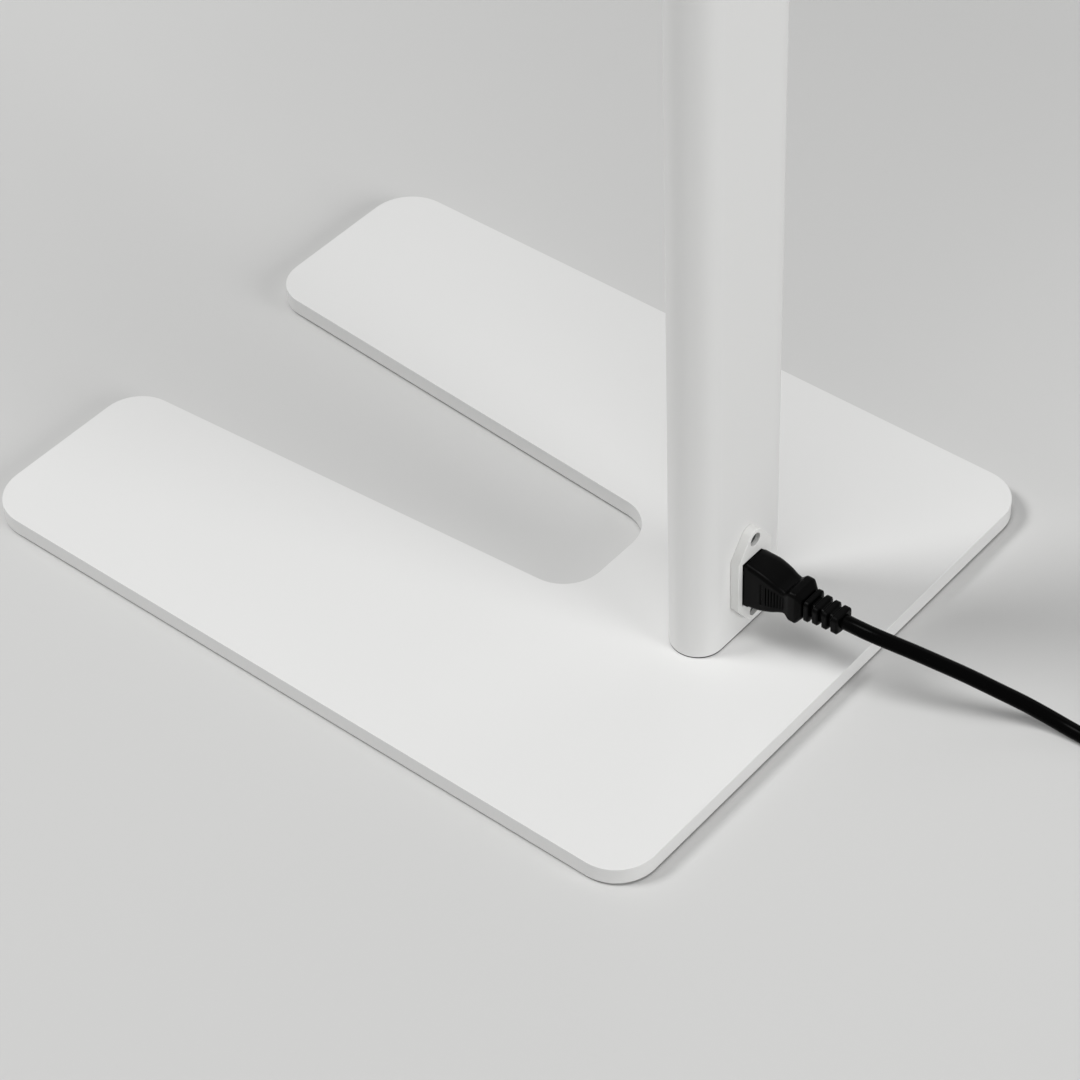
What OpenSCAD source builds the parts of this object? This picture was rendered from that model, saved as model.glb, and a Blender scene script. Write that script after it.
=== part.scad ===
// Office floor lamp. A flat steel base with a slot that goes round a desk leg,
// one hollow post with the mains inlet at its foot and a dimmer knob at hand
// height, and a flat head that lights both down and up.
//
// Millimetres. +Z is up, +Y is the back, where the mains lead leaves, and the
// origin is on the floor under the middle of the base plate.

/* [Base plate] */
// Width of the base plate
base_w = 280; // [240:1:360]
// Depth of the base plate, front to back
base_d = 357; // [330:1:420]
// Thickness of the base plate
base_t = 8; // [6:0.5:12]
// Radius of the two back corners
rear_r = 19; // [8:1:40]
// Radius of the outer front corners
front_r = 21; // [8:1:40]
// Radius of the inner front corners, at the mouth of the slot
mouth_r = 18.5; // [8:0.5:22]
// Radius of the corners at the closed end of the slot
slot_r = 19; // [8:1:24]
// Width of the slot at its closed end
slot_end_w = 57.5; // [52:0.5:80]
// Width of the slot at its mouth
slot_mouth_w = 90.5; // [84:0.5:120]
// Plate left behind the closed end of the slot
slot_back = 115.5; // [105:0.5:140]
// Diameter of a foot pad
foot_d = 16; // [10:1:24]
// How far the foot pads hold the plate off the floor
foot_h = 1.5; // [1:0.1:3]
// How deep a foot pad is let into the plate
foot_sink = 0.5; // [0.3:0.1:1]

/* [Post] */
// Height of the whole lamp
lamp_h = 1950; // [1700:5:2100]
// Width of the post, side to side
post_w = 58; // [54:0.5:80]
// Depth of the post, front to back
post_d = 24; // [24:0.5:40]
// Wall of the post
post_wall = 2.2; // [1.6:0.1:2.4]
// From the back edge of the plate to the back of the post
post_inset = 46.8; // [40:0.1:60]
// Outer diameter of the two screw channels inside the post
channel_d = 9.2; // [9:0.1:10]
// Thread core of the two screw channels
channel_bore = 6.8; // [6.4:0.1:7]
// Length of thread that each post screw takes in its channel
post_grip = 26; // [16:1:40]

/* [Mains inlet] */
// Middle of the inlet above the top of the base plate
inlet_up = 32.9; // [30:0.1:60]
// Width of the inlet's flange
flange_w = 22; // [21:0.5:24]
// Height of the inlet's flange
flange_h = 49; // [48:0.5:54]
// Thickness of the flange, which stands on the post
flange_t = 4.2; // [3:0.1:5]
// Distance between the two inlet screws
inlet_pitch = 39; // [38:0.5:42]
// Width of the socket, across the flange
socket_w = 16.8; // [16.6:0.1:17.4]
// Height of the socket, along the flange
socket_h = 23.1; // [22.8:0.1:25.4]
// Depth of the socket from the front of the flange
socket_deep = 17.5; // [17:0.1:18.5]
// Cut at the two socket corners beside the earth pin
socket_cut = 4.6; // [3.5:0.1:5.5]
// Wall round the socket
socket_wall = 1.4; // [1.2:0.1:1.6]
// Distance between the live and neutral pins
pin_pitch = 14; // [13.8:0.1:14.2]
// Width of a pin
pin_w = 4; // [3.6:0.1:4.2]
// Thickness of a pin
pin_t = 2; // [1.8:0.1:2.2]

/* [LED driver] */
// Width of the driver
driver_w = 30; // [26:0.5:31]
// Thickness of the driver
driver_t = 16; // [12:0.5:16.5]
// Length of the driver
driver_l = 200; // [140:5:300]
// Foot of the driver above the top of the base plate
driver_up = 75; // [70:1:140]
// Height of a driver clip
clip_h = 10; // [6:1:16]

/* [Dimmer] */
// Axis of the dimmer above the floor
dimmer_z = 1090; // [900:5:1300]
// Diameter of the knob
knob_d = 24; // [22:0.5:28]
// Length of the knob
knob_l = 13; // [12:0.5:18]
// Gap between the knob and the post at rest
knob_gap = 2.2; // [2.2:0.1:3]
// How far the knob can be pushed in
push_travel = 1.5; // [0.8:0.1:1.6]
// Number of finger flutes round the knob
flutes = 24; // [12:1:30]
// Diameter of the dimmer's shaft
shaft_d = 6; // [5.6:0.1:6.2]
// Side of the dimmer's square case
case_w = 17; // [15:0.5:19]

/* [Head] */
// Width of the head, side to side
head_w = 600; // [480:5:800]
// Depth of the head, front to back
head_d = 300; // [260:5:340]
// Thickness of the head
head_h = 28; // [27:0.5:40]
// Radius of the head's corners
head_r = 20; // [10:1:30]
// How far the head reaches behind the back of the post
head_back = 18; // [14:1:40]
// Wall of the head's tray
tray_wall = 2.5; // [2:0.1:3]
// Floor of the head's tray
tray_floor = 2; // [1.5:0.1:2.5]
// Border round the lower window
window_rim = 26; // [24:1:40]
// Closed band behind the lower window, over the post
neck_band = 70; // [66:1:90]
// Thickness of the lid
lid_t = 2; // [1.5:0.1:2.5]
// Width of the upper window
upper_w = 500; // [300:5:520]
// Depth of the upper window
upper_d = 170; // [80:5:180]
// Thickness of both light panels
panel_t = 3; // [2:0.1:3.5]
// How far a light panel laps the edge of its window
panel_lap = 5; // [3:0.5:5.5]
// Height of the neck block, which carries the LED plate
neck_h = 12; // [11:0.5:13]
// Thickness of the LED plate
plate_t = 2; // [1.5:0.1:2.5]
// Width of an LED strip
strip_w = 20; // [12:1:24]
// Number of LED strips that light down
strips_down = 5; // [3:1:6]
// Number of LED strips that light up
strips_up = 3; // [2:1:4]

/* [Mains lead] */
// Diameter of the cord
cord_d = 6.5; // [6:0.1:6.6]
// Thickness of the connector at its front
conn_w = 16.4; // [15.5:0.1:17.5]
// Height of the connector at its front
conn_h = 23.9; // [23.4:0.1:27]
// Gap between the connector's shoulder and the inlet
conn_gap = 0.4; // [0.3:0.1:1.5]
// Depth of the connector's nose in the socket
nose_l = 16; // [15:0.1:16.2]
// Diameter of the mains plug
plug_d = 37; // [36:0.5:40]
// Length of the mains plug, from its tail to its face
plug_l = 50; // [46:1:60]
// Distance between the two plug pins
plug_pitch = 19; // [18.5:0.1:19.5]
// Outer turn of the coil, at the middle of the cord
coil_r = 47.5; // [47:0.5:50]
// Distance between turns that lie side by side
coil_pitch = 7.1; // [7.05:0.05:7.3]
// Turns of the coil, half of them in each of its two layers
coil_turns = 6; // [4:2:6]

/* [Hidden] */

$fn = 48;
cut = 0.5;           // how far a cutting shape runs past the face it opens
hair = 0.002;
slip = 0.3;          // clearance of loose pieces
fit = 0.05;          // clearance of a shaft in its bearing, or a screw in its thread

white = "#dcdcda";
black = "#1b1b1c";
steel = "#b4b6b8";
brass = "#c8a75a";
frosted = "#f2f2ee";

// Heights and places that everything else is set from
plate_top = foot_h + base_t;
post_z1 = lamp_h - head_h;
post_y = base_d / 2 - post_inset - post_d / 2;
post_back_y = post_y + post_d / 2;
post_front_y = post_y - post_d / 2;
inner_w = post_w - 2 * post_wall;
inner_d = post_d - 2 * post_wall;
channel_x = inner_w / 2 - channel_d / 2 + 0.4;

// A corner block less a round of radius r: p is the corner, a and b are unit
// vectors along its two edges. Taken away, it rounds the corner. The round is a
// hair larger than its corner, so that it crosses both edges.
module corner_block(p, a, b, r) {
    half = acos(a * b) / 2;
    run = r / tan(half);
    centre = p + unit(a + b) * r / sin(half);
    out_a = -unit(b - (a * b) * a) * cut;
    out_b = -unit(a - (a * b) * b) * cut;
    difference() {
        polygon([centre, p + a * run + out_a, p + out_a + out_b, p + b * run + out_b]);
        translate(centre) circle(r + hair, $fn = 96);
    }
}

function unit(v) = v / norm(v);

module rounded_rect(w, d, r) {
    square([w - 2 * r, d], center = true);
    square([w, d - 2 * r], center = true);
    for (x = [-1, 1], y = [-1, 1])
        translate([x * (w / 2 - r), y * (d / 2 - r)]) circle(r);
}

module stadium(w, d) {
    square([w - d, d], center = true);
    for (x = [-1, 1])
        translate([x * (w - d) / 2, 0]) circle(d / 2, $fn = 96);
}

// A flat-headed screw that points up, its head flush at z = 0
module countersunk(head_d, shank_d, length, sunk = 0) {
    translate([0, 0, -sunk]) cylinder(d = head_d, h = sunk + 0.3);
    translate([0, 0, 0.3])
        cylinder(d1 = head_d, d2 = shank_d, h = (head_d - shank_d) / 2);
    cylinder(d = shank_d, h = length);
}

// ---- Base plate ---------------------------------------------------------

slot_y = base_d / 2 - slot_back;
slot_side = unit([(slot_mouth_w - slot_end_w) / 2, -(base_d - slot_back)]);
foot_in_x = 22;      // from the plate's edges to the middle of a corner pad
foot_in_y = 26;
foot_x = base_w / 2 - foot_in_x;
foot_y = base_d / 2 - foot_in_y;
foot_places = [for (x = [-1, 1], y = [-1, 0, 1]) [x * foot_x, y * foot_y]];

post_screw_head = 15;
post_hole_d = 8.4;
earth_screw_d = 4;
earth_head_d = 8;

module base_outline() {
    e = slot_end_w / 2;
    m = slot_mouth_w / 2;
    difference() {
        square([base_w, base_d], center = true);
        difference() {
            polygon([[-e, slot_y], [e, slot_y], [m, -base_d / 2],
                [m, -base_d / 2 - cut], [-m, -base_d / 2 - cut], [-m, -base_d / 2]]);
            for (s = [-1, 1])
                corner_block([s * e, slot_y], [-s, 0], [s * slot_side.x, slot_side.y], slot_r);
        }
        for (s = [-1, 1]) {
            corner_block([s * base_w / 2, base_d / 2], [-s, 0], [0, -1], rear_r);
            corner_block([s * base_w / 2, -base_d / 2], [-s, 0], [0, 1], front_r);
            corner_block([s * m, -base_d / 2], [s, 0], [-s * slot_side.x, -slot_side.y], mouth_r);
        }
    }
}

module base_plate() {
    color(white) difference() {
        translate([0, 0, foot_h]) linear_extrude(base_t) base_outline();
        for (p = foot_places)
            translate([p.x, p.y, foot_h - cut]) cylinder(d = foot_d + slip, h = foot_sink + cut);
        for (s = [-1, 1]) translate([s * channel_x, post_y, foot_h])
            countersunk(post_screw_head + slip, post_hole_d, base_t + cut, cut);
        translate([0, earth_y, foot_h])
            countersunk(earth_head_d + slip, earth_screw_d + slip, base_t + cut, cut);
    }
}

module base_feet() {
    color(black) for (p = foot_places)
        translate(p) cylinder(d = foot_d, h = foot_h + foot_sink);
}

module post_screws() {
    color(steel) for (s = [-1, 1]) translate([s * channel_x, post_y, foot_h])
        difference() {
            countersunk(post_screw_head, channel_bore - 2 * fit, base_t + post_grip);
            translate([0, 0, -cut]) cylinder(d = 5.8, h = 3 + cut, $fn = 6);
        }
}

// ---- Post ---------------------------------------------------------------

module post() {
    color(white) difference() {
        union() {
            translate([0, post_y, plate_top]) linear_extrude(post_z1 - plate_top)
                difference() {
                    stadium(post_w, post_d);
                    stadium(inner_w, inner_d);
                }
            for (s = [-1, 1]) translate([s * channel_x, post_y, plate_top])
                cylinder(d = channel_d, h = post_z1 - plate_top);
        }
        for (s = [-1, 1]) translate([s * channel_x, post_y, plate_top - cut])
            cylinder(d = channel_bore, h = post_z1 - plate_top + 2 * cut);
        at_inlet() {
            translate([0, 0, flange_t - cut]) linear_extrude(post_wall + 2 * cut)
                socket_outline(socket_wall + slip);
            for (s = [-1, 1]) translate([0, s * inlet_pitch / 2, flange_t - cut])
                cylinder(d = inlet_screw_d + 2 * fit, h = post_wall + 2 * cut);
        }
        at_dimmer() translate([0, 0, -cut])
            cylinder(d = bush_d + slip, h = post_wall + 2 * cut);
    }
}

// ---- Mains inlet --------------------------------------------------------

inlet_z = plate_top + inlet_up;
inlet_front_y = post_back_y + flange_t;
inlet_screw_d = 3;
inlet_head_d = 5.8;
inlet_recess = 2;
socket_back = 1.5;
body_deep = socket_deep + socket_back;
pin_side = 2;        // live and neutral lie this far to +X, and earth to -X
tab_l = 4.4;
tab_t = 0.8;
wire_d = 2.2;
wire_deep = body_deep + 2.6;
earth_y = inlet_front_y - wire_deep;
pin_places = [[pin_side, pin_pitch / 2, 2.6], [pin_side, -pin_pitch / 2, 2.6],
    [-pin_side, 0, 1.6]];

// x stays x, y points up and z points into the post from the flange's face
module at_inlet() {
    translate([0, inlet_front_y, inlet_z]) rotate([90, 0, 0]) children();
}

module socket_outline(grow) {
    a = socket_w / 2 + grow;
    b = socket_h / 2 + grow;
    c = socket_cut;
    polygon([[a, -b], [a, b], [c - a, b], [-a, b - c], [-a, c - b], [c - a, -b]]);
}

// Straight sides beside the socket that draw in to a round end at each screw
module flange_outline() {
    end_r = (flange_h - inlet_pitch) / 2;
    hull() {
        square([flange_w, socket_h + 2 * socket_wall], center = true);
        for (s = [-1, 1])
            translate([0, s * inlet_pitch / 2]) circle(end_r, $fn = 40);
    }
}

module inlet_body() {
    color(white) at_inlet() difference() {
        union() {
            linear_extrude(flange_t) flange_outline();
            translate([0, 0, flange_t])
                linear_extrude(body_deep - flange_t) socket_outline(socket_wall);
        }
        translate([0, 0, -cut]) linear_extrude(socket_deep + cut) socket_outline(0);
        for (p = pin_places) translate([p.x, p.y, body_deep - socket_back / 2])
            cube([pin_w, pin_t, socket_back + 2 * cut], center = true);
        for (s = [-1, 1]) translate([0, s * inlet_pitch / 2, inlet_recess])
            countersunk(inlet_head_d + slip, inlet_screw_d + slip, flange_t, inlet_recess + cut);
    }
}

module inlet_pins() {
    color(steel) at_inlet() for (p = pin_places) translate([p.x, p.y, 0]) {
        translate([-pin_w / 2, -pin_t / 2, p.z]) cube([pin_w, pin_t, body_deep - p.z]);
        translate([-pin_w / 2, -tab_t / 2, body_deep]) cube([pin_w, tab_t, tab_l]);
    }
}

module inlet_screws() {
    color(steel) at_inlet() for (s = [-1, 1])
        translate([0, s * inlet_pitch / 2, inlet_recess]) difference() {
            countersunk(inlet_head_d, inlet_screw_d, flange_t + post_wall);
            for (a = [0, 90]) rotate(a)
                translate([-1.7, -0.35, -cut]) cube([3.4, 0.7, 1.2 + cut]);
        }
}

// A wire of straight runs with round elbows
module wire(points, d) {
    for (i = [1 : len(points) - 1]) {
        run = points[i] - points[i - 1];
        across = cross([0, 0, 1], run);
        translate(points[i - 1])
            rotate(acos(unit(run).z), norm(across) < 0.001 ? [1, 0, 0] : across)
                cylinder(d = d, h = norm(run), $fn = 24);
        if (i < len(points) - 1) translate(points[i]) sphere(d = d, $fn = 24);
    }
}

// A push-on sleeve on each tab, and its wire: live and neutral run up to the
// driver, earth runs down to the lug on the base plate
module inlet_wires() {
    top = driver_up - inlet_up;
    lug = earth_barrel_z - inlet_z;
    color("#8a5a3c") at_inlet() {
        difference() {
            union() {
                for (p = pin_places) translate([p.x, p.y, body_deep + tab_l / 2 + 0.4])
                    cube([pin_w + 1.4, 3, tab_l], center = true);
                wire([[pin_side, pin_pitch / 2 + 1, wire_deep], [pin_side, top, wire_deep]], wire_d);
                wire([[pin_side + 2, -pin_pitch / 2, wire_deep], [9, -pin_pitch / 2, wire_deep],
                    [9, top, wire_deep]], wire_d);
                wire([[-pin_side - 2, 0, wire_deep], [-9.5, 0, wire_deep], [-9.5, lug, wire_deep],
                    [-8, lug, wire_deep]], wire_d);
            }
            for (p = pin_places) translate([p.x, p.y, body_deep + tab_l / 2])
                cube([pin_w, tab_t, tab_l], center = true);
        }
    }
}

// ---- Earth on the base plate --------------------------------------------

lug_t = 1;
lug_d = 8.4;
nut_h = 3.2;
barrel_d = 3.4;
earth_barrel_z = plate_top + barrel_d / 2;

module earth_lug() {
    color(steel) difference() {
        union() {
            translate([0, earth_y, plate_top]) cylinder(d = lug_d, h = lug_t);
            translate([-8, earth_y, earth_barrel_z]) rotate([0, 90, 0]) cylinder(d = barrel_d, h = 3.9);
        }
        translate([0, earth_y, plate_top - cut])
            cylinder(d = earth_screw_d + slip, h = lug_t + 2 * cut);
        translate([0, earth_y, plate_top + lug_t])
            cylinder(d = lug_d, h = barrel_d);
    }
}

module earth_fastener() {
    color(steel) {
        translate([0, earth_y, foot_h])
            countersunk(earth_head_d, earth_screw_d, base_t + lug_t + nut_h + 1);
        translate([0, earth_y, plate_top + lug_t]) difference() {
            cylinder(d = 8.1, h = nut_h, $fn = 6);
            translate([0, 0, -cut]) cylinder(d = earth_screw_d + 2 * fit, h = nut_h + 2 * cut);
        }
    }
}

// ---- LED driver and the cable in the post -------------------------------

driver_z = plate_top + driver_up;
cable_d = 5;
cable_y = post_y + 5;
clip_rise = 14;

module driver() {
    color("#d8d8d4") translate([0, post_y, driver_z]) difference() {
        linear_extrude(driver_l) rounded_rect(driver_w, driver_t, 2);
        for (z = [clip_rise + clip_h + 10 : 10 : driver_l - clip_rise - clip_h - 10], s = [-1, 1])
            translate([s * driver_w / 2, 0, z]) cube([1.6, driver_t - 6, 4], center = true);
    }
}

// Two clips that wedge the driver between the walls of the post
module driver_clips() {
    clip_w = 2 * (channel_x - channel_d / 2 - slip);
    color(black)
        for (z = [driver_z + clip_rise, driver_z + driver_l - clip_rise - clip_h])
            translate([0, post_y, z]) linear_extrude(clip_h) difference() {
                square([clip_w, inner_d - 2 * slip], center = true);
                rounded_rect(driver_w, driver_t, 2);
            }
}

module post_cable() {
    z0 = driver_z + driver_l;
    color("#e4e4e0") translate([0, cable_y, z0])
        cylinder(d = cable_d, h = head_z + plate_z + plate_t - z0);
}

// ---- Dimmer -------------------------------------------------------------

bush_d = 7;
bush_l = 5.5;        // how far the threaded bush stands out of the post
case_l = 11.5;
rotor_d = 12.6;
rotor_t = 2.9;
rotor_deep = 2.8;    // from the front of the case to the rotor
shaft_flat = 1.5;    // how far a flat cuts into the shaft
shaft_tail = rotor_deep + rotor_t + 1;
spring_d = 4.6;
spring_wire = 0.5;
spring_turns = 3.5;
case_nut_h = 2;
knob_z0 = -knob_gap;
hub_z = -bush_l - push_travel - 0.5;
hub_deep = knob_l - (-hub_z - knob_gap) - 2;

// x stays x, y points down and z points into the post from its front face
module at_dimmer() {
    translate([0, post_front_y, dimmer_z]) rotate([-90, 0, 0]) children();
}

module dimmer_case() {
    color("#3c5a46") at_dimmer() translate([0, 0, post_wall]) difference() {
        union() {
            translate([-case_w / 2, -case_w / 2, 0]) cube([case_w, case_w, case_l]);
            translate([0, 0, -post_wall - bush_l]) cylinder(d = bush_d, h = post_wall + bush_l);
        }
        translate([0, 0, -post_wall - bush_l - cut])
            cylinder(d = shaft_d + 2 * fit, h = post_wall + bush_l + rotor_deep + 2 * cut);
        translate([0, 0, rotor_deep - slip])
            cylinder(d = rotor_d + 2 * slip, h = rotor_t + 2 * slip);
        cylinder(d = shaft_d + 2 * slip, h = case_l - 1);
    }
}

module dimmer_nut() {
    color(steel) at_dimmer() translate([0, 0, -case_nut_h]) difference() {
        cylinder(d = 11.5, h = case_nut_h, $fn = 6);
        translate([0, 0, -cut]) cylinder(d = bush_d + 2 * fit, h = case_nut_h + 2 * cut);
    }
}

// Returns the shaft after a push; it stands between the shaft and the case
module dimmer_spring() {
    z0 = post_wall + shaft_tail + spring_wire / 2;
    z1 = post_wall + case_l - 1 - spring_wire / 2;
    steps = 14;
    line = [for (i = [0 : spring_turns * steps])
        let (a = i * 360 / steps, r = (spring_d - spring_wire) / 2)
            [r * cos(a), r * sin(a), z0 + (z1 - z0) * i / (spring_turns * steps)]];
    color(steel) at_dimmer() tube(line, spring_wire / 2, 6);
}

module dimmer_leads() {
    y0 = case_w / 2;
    color("#8a5a3c") at_dimmer() for (x = [-1.5, 0, 1.5])
        wire([[x, y0, 11], [x, y0 + 5, 11], [x, y0 + 5, cable_y - post_front_y - cable_d / 2 - 0.1]], 1.1);
}

module d_shape(d, flat) {
    difference() {
        circle(d = d);
        translate([-d, d / 2 - flat]) square([2 * d, d]);
    }
}

module dimmer_rotor() {
    color("#c9c4b4") at_dimmer() translate([0, 0, post_wall + rotor_deep])
        linear_extrude(rotor_t) difference() {
            circle(d = rotor_d);
            d_shape(shaft_d + 2 * fit, shaft_flat);
        }
}

// A flat at each end, one for the knob and one for the rotor, and round between
module dimmer_shaft() {
    round_end = rotor_deep - push_travel;
    color(steel) at_dimmer() {
        translate([0, 0, hub_z - hub_deep]) linear_extrude(hub_deep) d_shape(shaft_d, shaft_flat);
        translate([0, 0, hub_z]) cylinder(d = shaft_d, h = round_end - hub_z);
        translate([0, 0, round_end]) linear_extrude(post_wall + shaft_tail - round_end)
            d_shape(shaft_d, shaft_flat);
    }
}

// Finger flutes, a hub with a flat for the shaft, and a groove that shows how
// far the knob is turned
module dimmer_knob() {
    edge = 1;
    color(white) at_dimmer() difference() {
        translate([0, 0, knob_z0 - knob_l]) rotate_extrude($fn = 96)
            polygon([[0, 0], [knob_d / 2 - edge, 0], [knob_d / 2, edge],
                [knob_d / 2, knob_l], [0, knob_l]]);
        translate([0, 0, hub_z]) cylinder(d = knob_d - 4, h = -hub_z + cut);
        translate([0, 0, hub_z - hub_deep]) linear_extrude(hub_deep + cut) d_shape(shaft_d, shaft_flat);
        for (i = [0 : flutes - 1]) rotate(i * 360 / flutes + 180 / flutes)
            translate([knob_d / 2 + 0.5, 0, knob_z0 - knob_l - cut]) cylinder(d = 1.8, h = knob_l - 1, $fn = 24);
        translate([-0.5, -knob_d / 2 + 2, knob_z0 - knob_l - cut]) cube([1, 5.5, 0.5 + cut]);
    }
}

// ---- Head ---------------------------------------------------------------

head_z = lamp_h - head_h;
head_y = post_back_y + head_back - head_d / 2;
neck_y = post_y - head_y;
lid_z = head_h - lid_t;
plate_z = tray_floor + neck_h;
window_w = head_w - 2 * window_rim;
window_y0 = -head_d / 2 + window_rim;
window_y1 = head_d / 2 - neck_band;
upper_y = (window_y0 + window_y1) / 2;
boss_x = head_w / 2 - tray_wall - 9.5;
boss_y = head_d / 2 - tray_wall - 9.5;
boss_places = [for (x = [-1, -0.5, 0.5, 1], y = [-1, 1]) [x * boss_x, y * boss_y]];
boss_d = 8;
shelf_d = 12;
lid_screw_d = 3;
lid_head_d = 5.6;
neck_w = 54;
neck_d = 34;
neck_hole_d = 8.4;
neck_head_d = 13;
neck_head_h = 5.6;
grommet_d = 7.4;
grommet_rim_d = 11;
strip_t = 1.6;
strip_l = window_w - 10;
chip = 3;
chip_count = 12;

// x and y stay, with their zero at the middle of the head, and z starts at its
// underside
module at_head() {
    translate([0, head_y, head_z]) children();
}

module head_tray() {
    color(white) at_head() difference() {
        union() {
            difference() {
                linear_extrude(head_h) rounded_rect(head_w, head_d, head_r);
                translate([0, 0, tray_floor]) linear_extrude(head_h)
                    rounded_rect(head_w - 2 * tray_wall, head_d - 2 * tray_wall, head_r - tray_wall);
            }
            for (p = boss_places) translate([p.x, p.y, 0]) {
                cylinder(d = boss_d, h = lid_z);
                cylinder(d = shelf_d, h = plate_z);
            }
        }
        translate([0, (window_y0 + window_y1) / 2, -cut]) linear_extrude(tray_floor + 2 * cut)
            rounded_rect(window_w, window_y1 - window_y0, 6);
        for (p = boss_places) translate([p.x, p.y, lid_z - 10])
            cylinder(d = lid_screw_d - 0.4, h = 10 + cut);
        for (s = [-1, 1]) translate([s * channel_x, neck_y, -cut])
            cylinder(d = neck_hole_d, h = tray_floor + 2 * cut);
        translate([0, cable_y - head_y, -cut])
            cylinder(d = grommet_d + 2 * fit, h = tray_floor + 2 * cut);
    }
}

module lower_panel() {
    color(frosted) at_head() translate([0, (window_y0 + window_y1) / 2, tray_floor])
        linear_extrude(panel_t)
            rounded_rect(window_w + 2 * panel_lap, window_y1 - window_y0 + 2 * panel_lap, 8);
}

module neck_block() {
    color(steel) at_head() translate([0, neck_y, tray_floor]) difference() {
        linear_extrude(neck_h) rounded_rect(neck_w, neck_d, 4);
        for (s = [-1, 1]) translate([s * channel_x, 0, -cut]) {
            cylinder(d = neck_hole_d, h = neck_h + 2 * cut);
            translate([0, 0, neck_h - neck_head_h - 0.4 + cut])
                cylinder(d = neck_head_d + 2 * slip, h = neck_head_h + 0.4 + cut);
        }
        translate([0, cable_y - post_y, -cut]) cylinder(d = grommet_d + 2 * fit, h = neck_h + 2 * cut);
    }
}

// Cap screws that clamp the tray between the neck block and the post
module neck_screws() {
    seat = head_z + tray_floor + neck_h - neck_head_h - 0.4;
    reach = seat - post_z1 + 20;
    color(steel) for (s = [-1, 1]) translate([s * channel_x, post_y, seat]) difference() {
        union() {
            cylinder(d = neck_head_d, h = neck_head_h);
            translate([0, 0, -reach]) cylinder(d = channel_bore - 2 * fit, h = reach);
        }
        translate([0, 0, neck_head_h - 3]) cylinder(d = 6.9, h = 3 + cut, $fn = 6);
    }
}

module cable_grommet() {
    color(black) translate([0, cable_y, head_z]) difference() {
        union() {
            cylinder(d = grommet_d, h = plate_z);
            translate([0, 0, plate_z]) cylinder(d = grommet_rim_d, h = 1.2);
        }
        translate([0, 0, -cut]) cylinder(d = cable_d + 2 * fit, h = plate_z + 1.2 + 2 * cut);
    }
}

module led_plate() {
    color(steel) at_head() translate([0, 0, plate_z]) linear_extrude(plate_t) difference() {
        rounded_rect(head_w - 2 * tray_wall - 2, head_d - 2 * tray_wall - 2, head_r - tray_wall - 1);
        for (p = boss_places) translate(p) circle(d = boss_d + slip);
        translate([0, cable_y - head_y]) circle(d = grommet_rim_d + 1);
    }
}

// One strip that lies on z = 0, with its LEDs in a row on top
module led_strip() {
    translate([-strip_l / 2, -strip_w / 2, 0]) cube([strip_l, strip_w, strip_t]);
    for (i = [0 : chip_count - 1])
        translate([(i + 0.5 - chip_count / 2) * strip_l / chip_count - chip / 2, -chip / 2, strip_t - 0.2])
            cube([chip, chip, 0.9]);
}

// Middles of n strips spread over the depth of a window
function strip_rows(n, depth) = [for (i = [0 : n - 1]) (i + 0.5 - n / 2) * depth / n];

module led_strips_down() {
    color("#e8e4c8") at_head() for (y = strip_rows(strips_down, window_y1 - window_y0))
        translate([0, upper_y + y, plate_z]) mirror([0, 0, 1]) led_strip();
}

module led_strips_up() {
    color("#e8e4c8") at_head() for (y = strip_rows(strips_up, upper_d))
        translate([0, upper_y + y, plate_z + plate_t]) led_strip();
}

module head_terminal() {
    w = 22;
    d = 16;
    color(black) at_head() translate([-w / 2, cable_y - head_y - d / 2, plate_z + plate_t])
        difference() {
            cube([w, d, 7]);
            for (i = [0 : 3]) translate([3.5 + i * 5, 3.5, 4]) cylinder(d = 3, h = 4);
        }
}

module upper_panel() {
    color(frosted) at_head() translate([0, upper_y, lid_z - panel_t]) linear_extrude(panel_t)
        rounded_rect(upper_w + 2 * panel_lap, upper_d + 2 * panel_lap, 8);
}

module head_lid() {
    color(white) at_head() difference() {
        translate([0, 0, lid_z]) linear_extrude(lid_t) difference() {
            rounded_rect(head_w - 2 * (tray_wall + slip), head_d - 2 * (tray_wall + slip),
                head_r - tray_wall - slip);
            translate([0, upper_y]) rounded_rect(upper_w, upper_d, 6);
        }
        for (p = boss_places) translate([p.x, p.y, head_h]) mirror([0, 0, 1])
            countersunk(lid_head_d + slip, lid_screw_d + slip, lid_t + cut, cut);
    }
}

module lid_screws() {
    color(steel) at_head() for (p = boss_places) translate([p.x, p.y, head_h]) mirror([0, 0, 1])
        difference() {
            countersunk(lid_head_d, lid_screw_d - 0.4 - 2 * fit, 9);
            for (a = [0, 90]) rotate(a)
                translate([-1.5, -0.3, -cut]) cube([3, 0.6, 1 + cut]);
        }
}

// ---- Skins and tubes ----------------------------------------------------

// A closed solid through rings of points that all have the same count
module skin(rings) {
    n = len(rings[0]);
    m = len(rings);
    points = [for (ring = rings) each ring];
    sides = [for (i = [0 : m - 2], j = [0 : n - 1])
        let (a = i * n + j, b = i * n + (j + 1) % n)
            each [[a, b + n, b], [a, a + n, b + n]]];
    caps = [[for (j = [0 : n - 1]) j], [for (j = [n - 1 : -1 : 0]) (m - 1) * n + j]];
    polyhedron(points, concat(sides, caps), convexity = 10);
}

// The direction of a line of points at its point i
function heading(line, i) =
    unit(line[min(i + 1, len(line) - 1)] - line[max(i - 1, 0)]);

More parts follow.
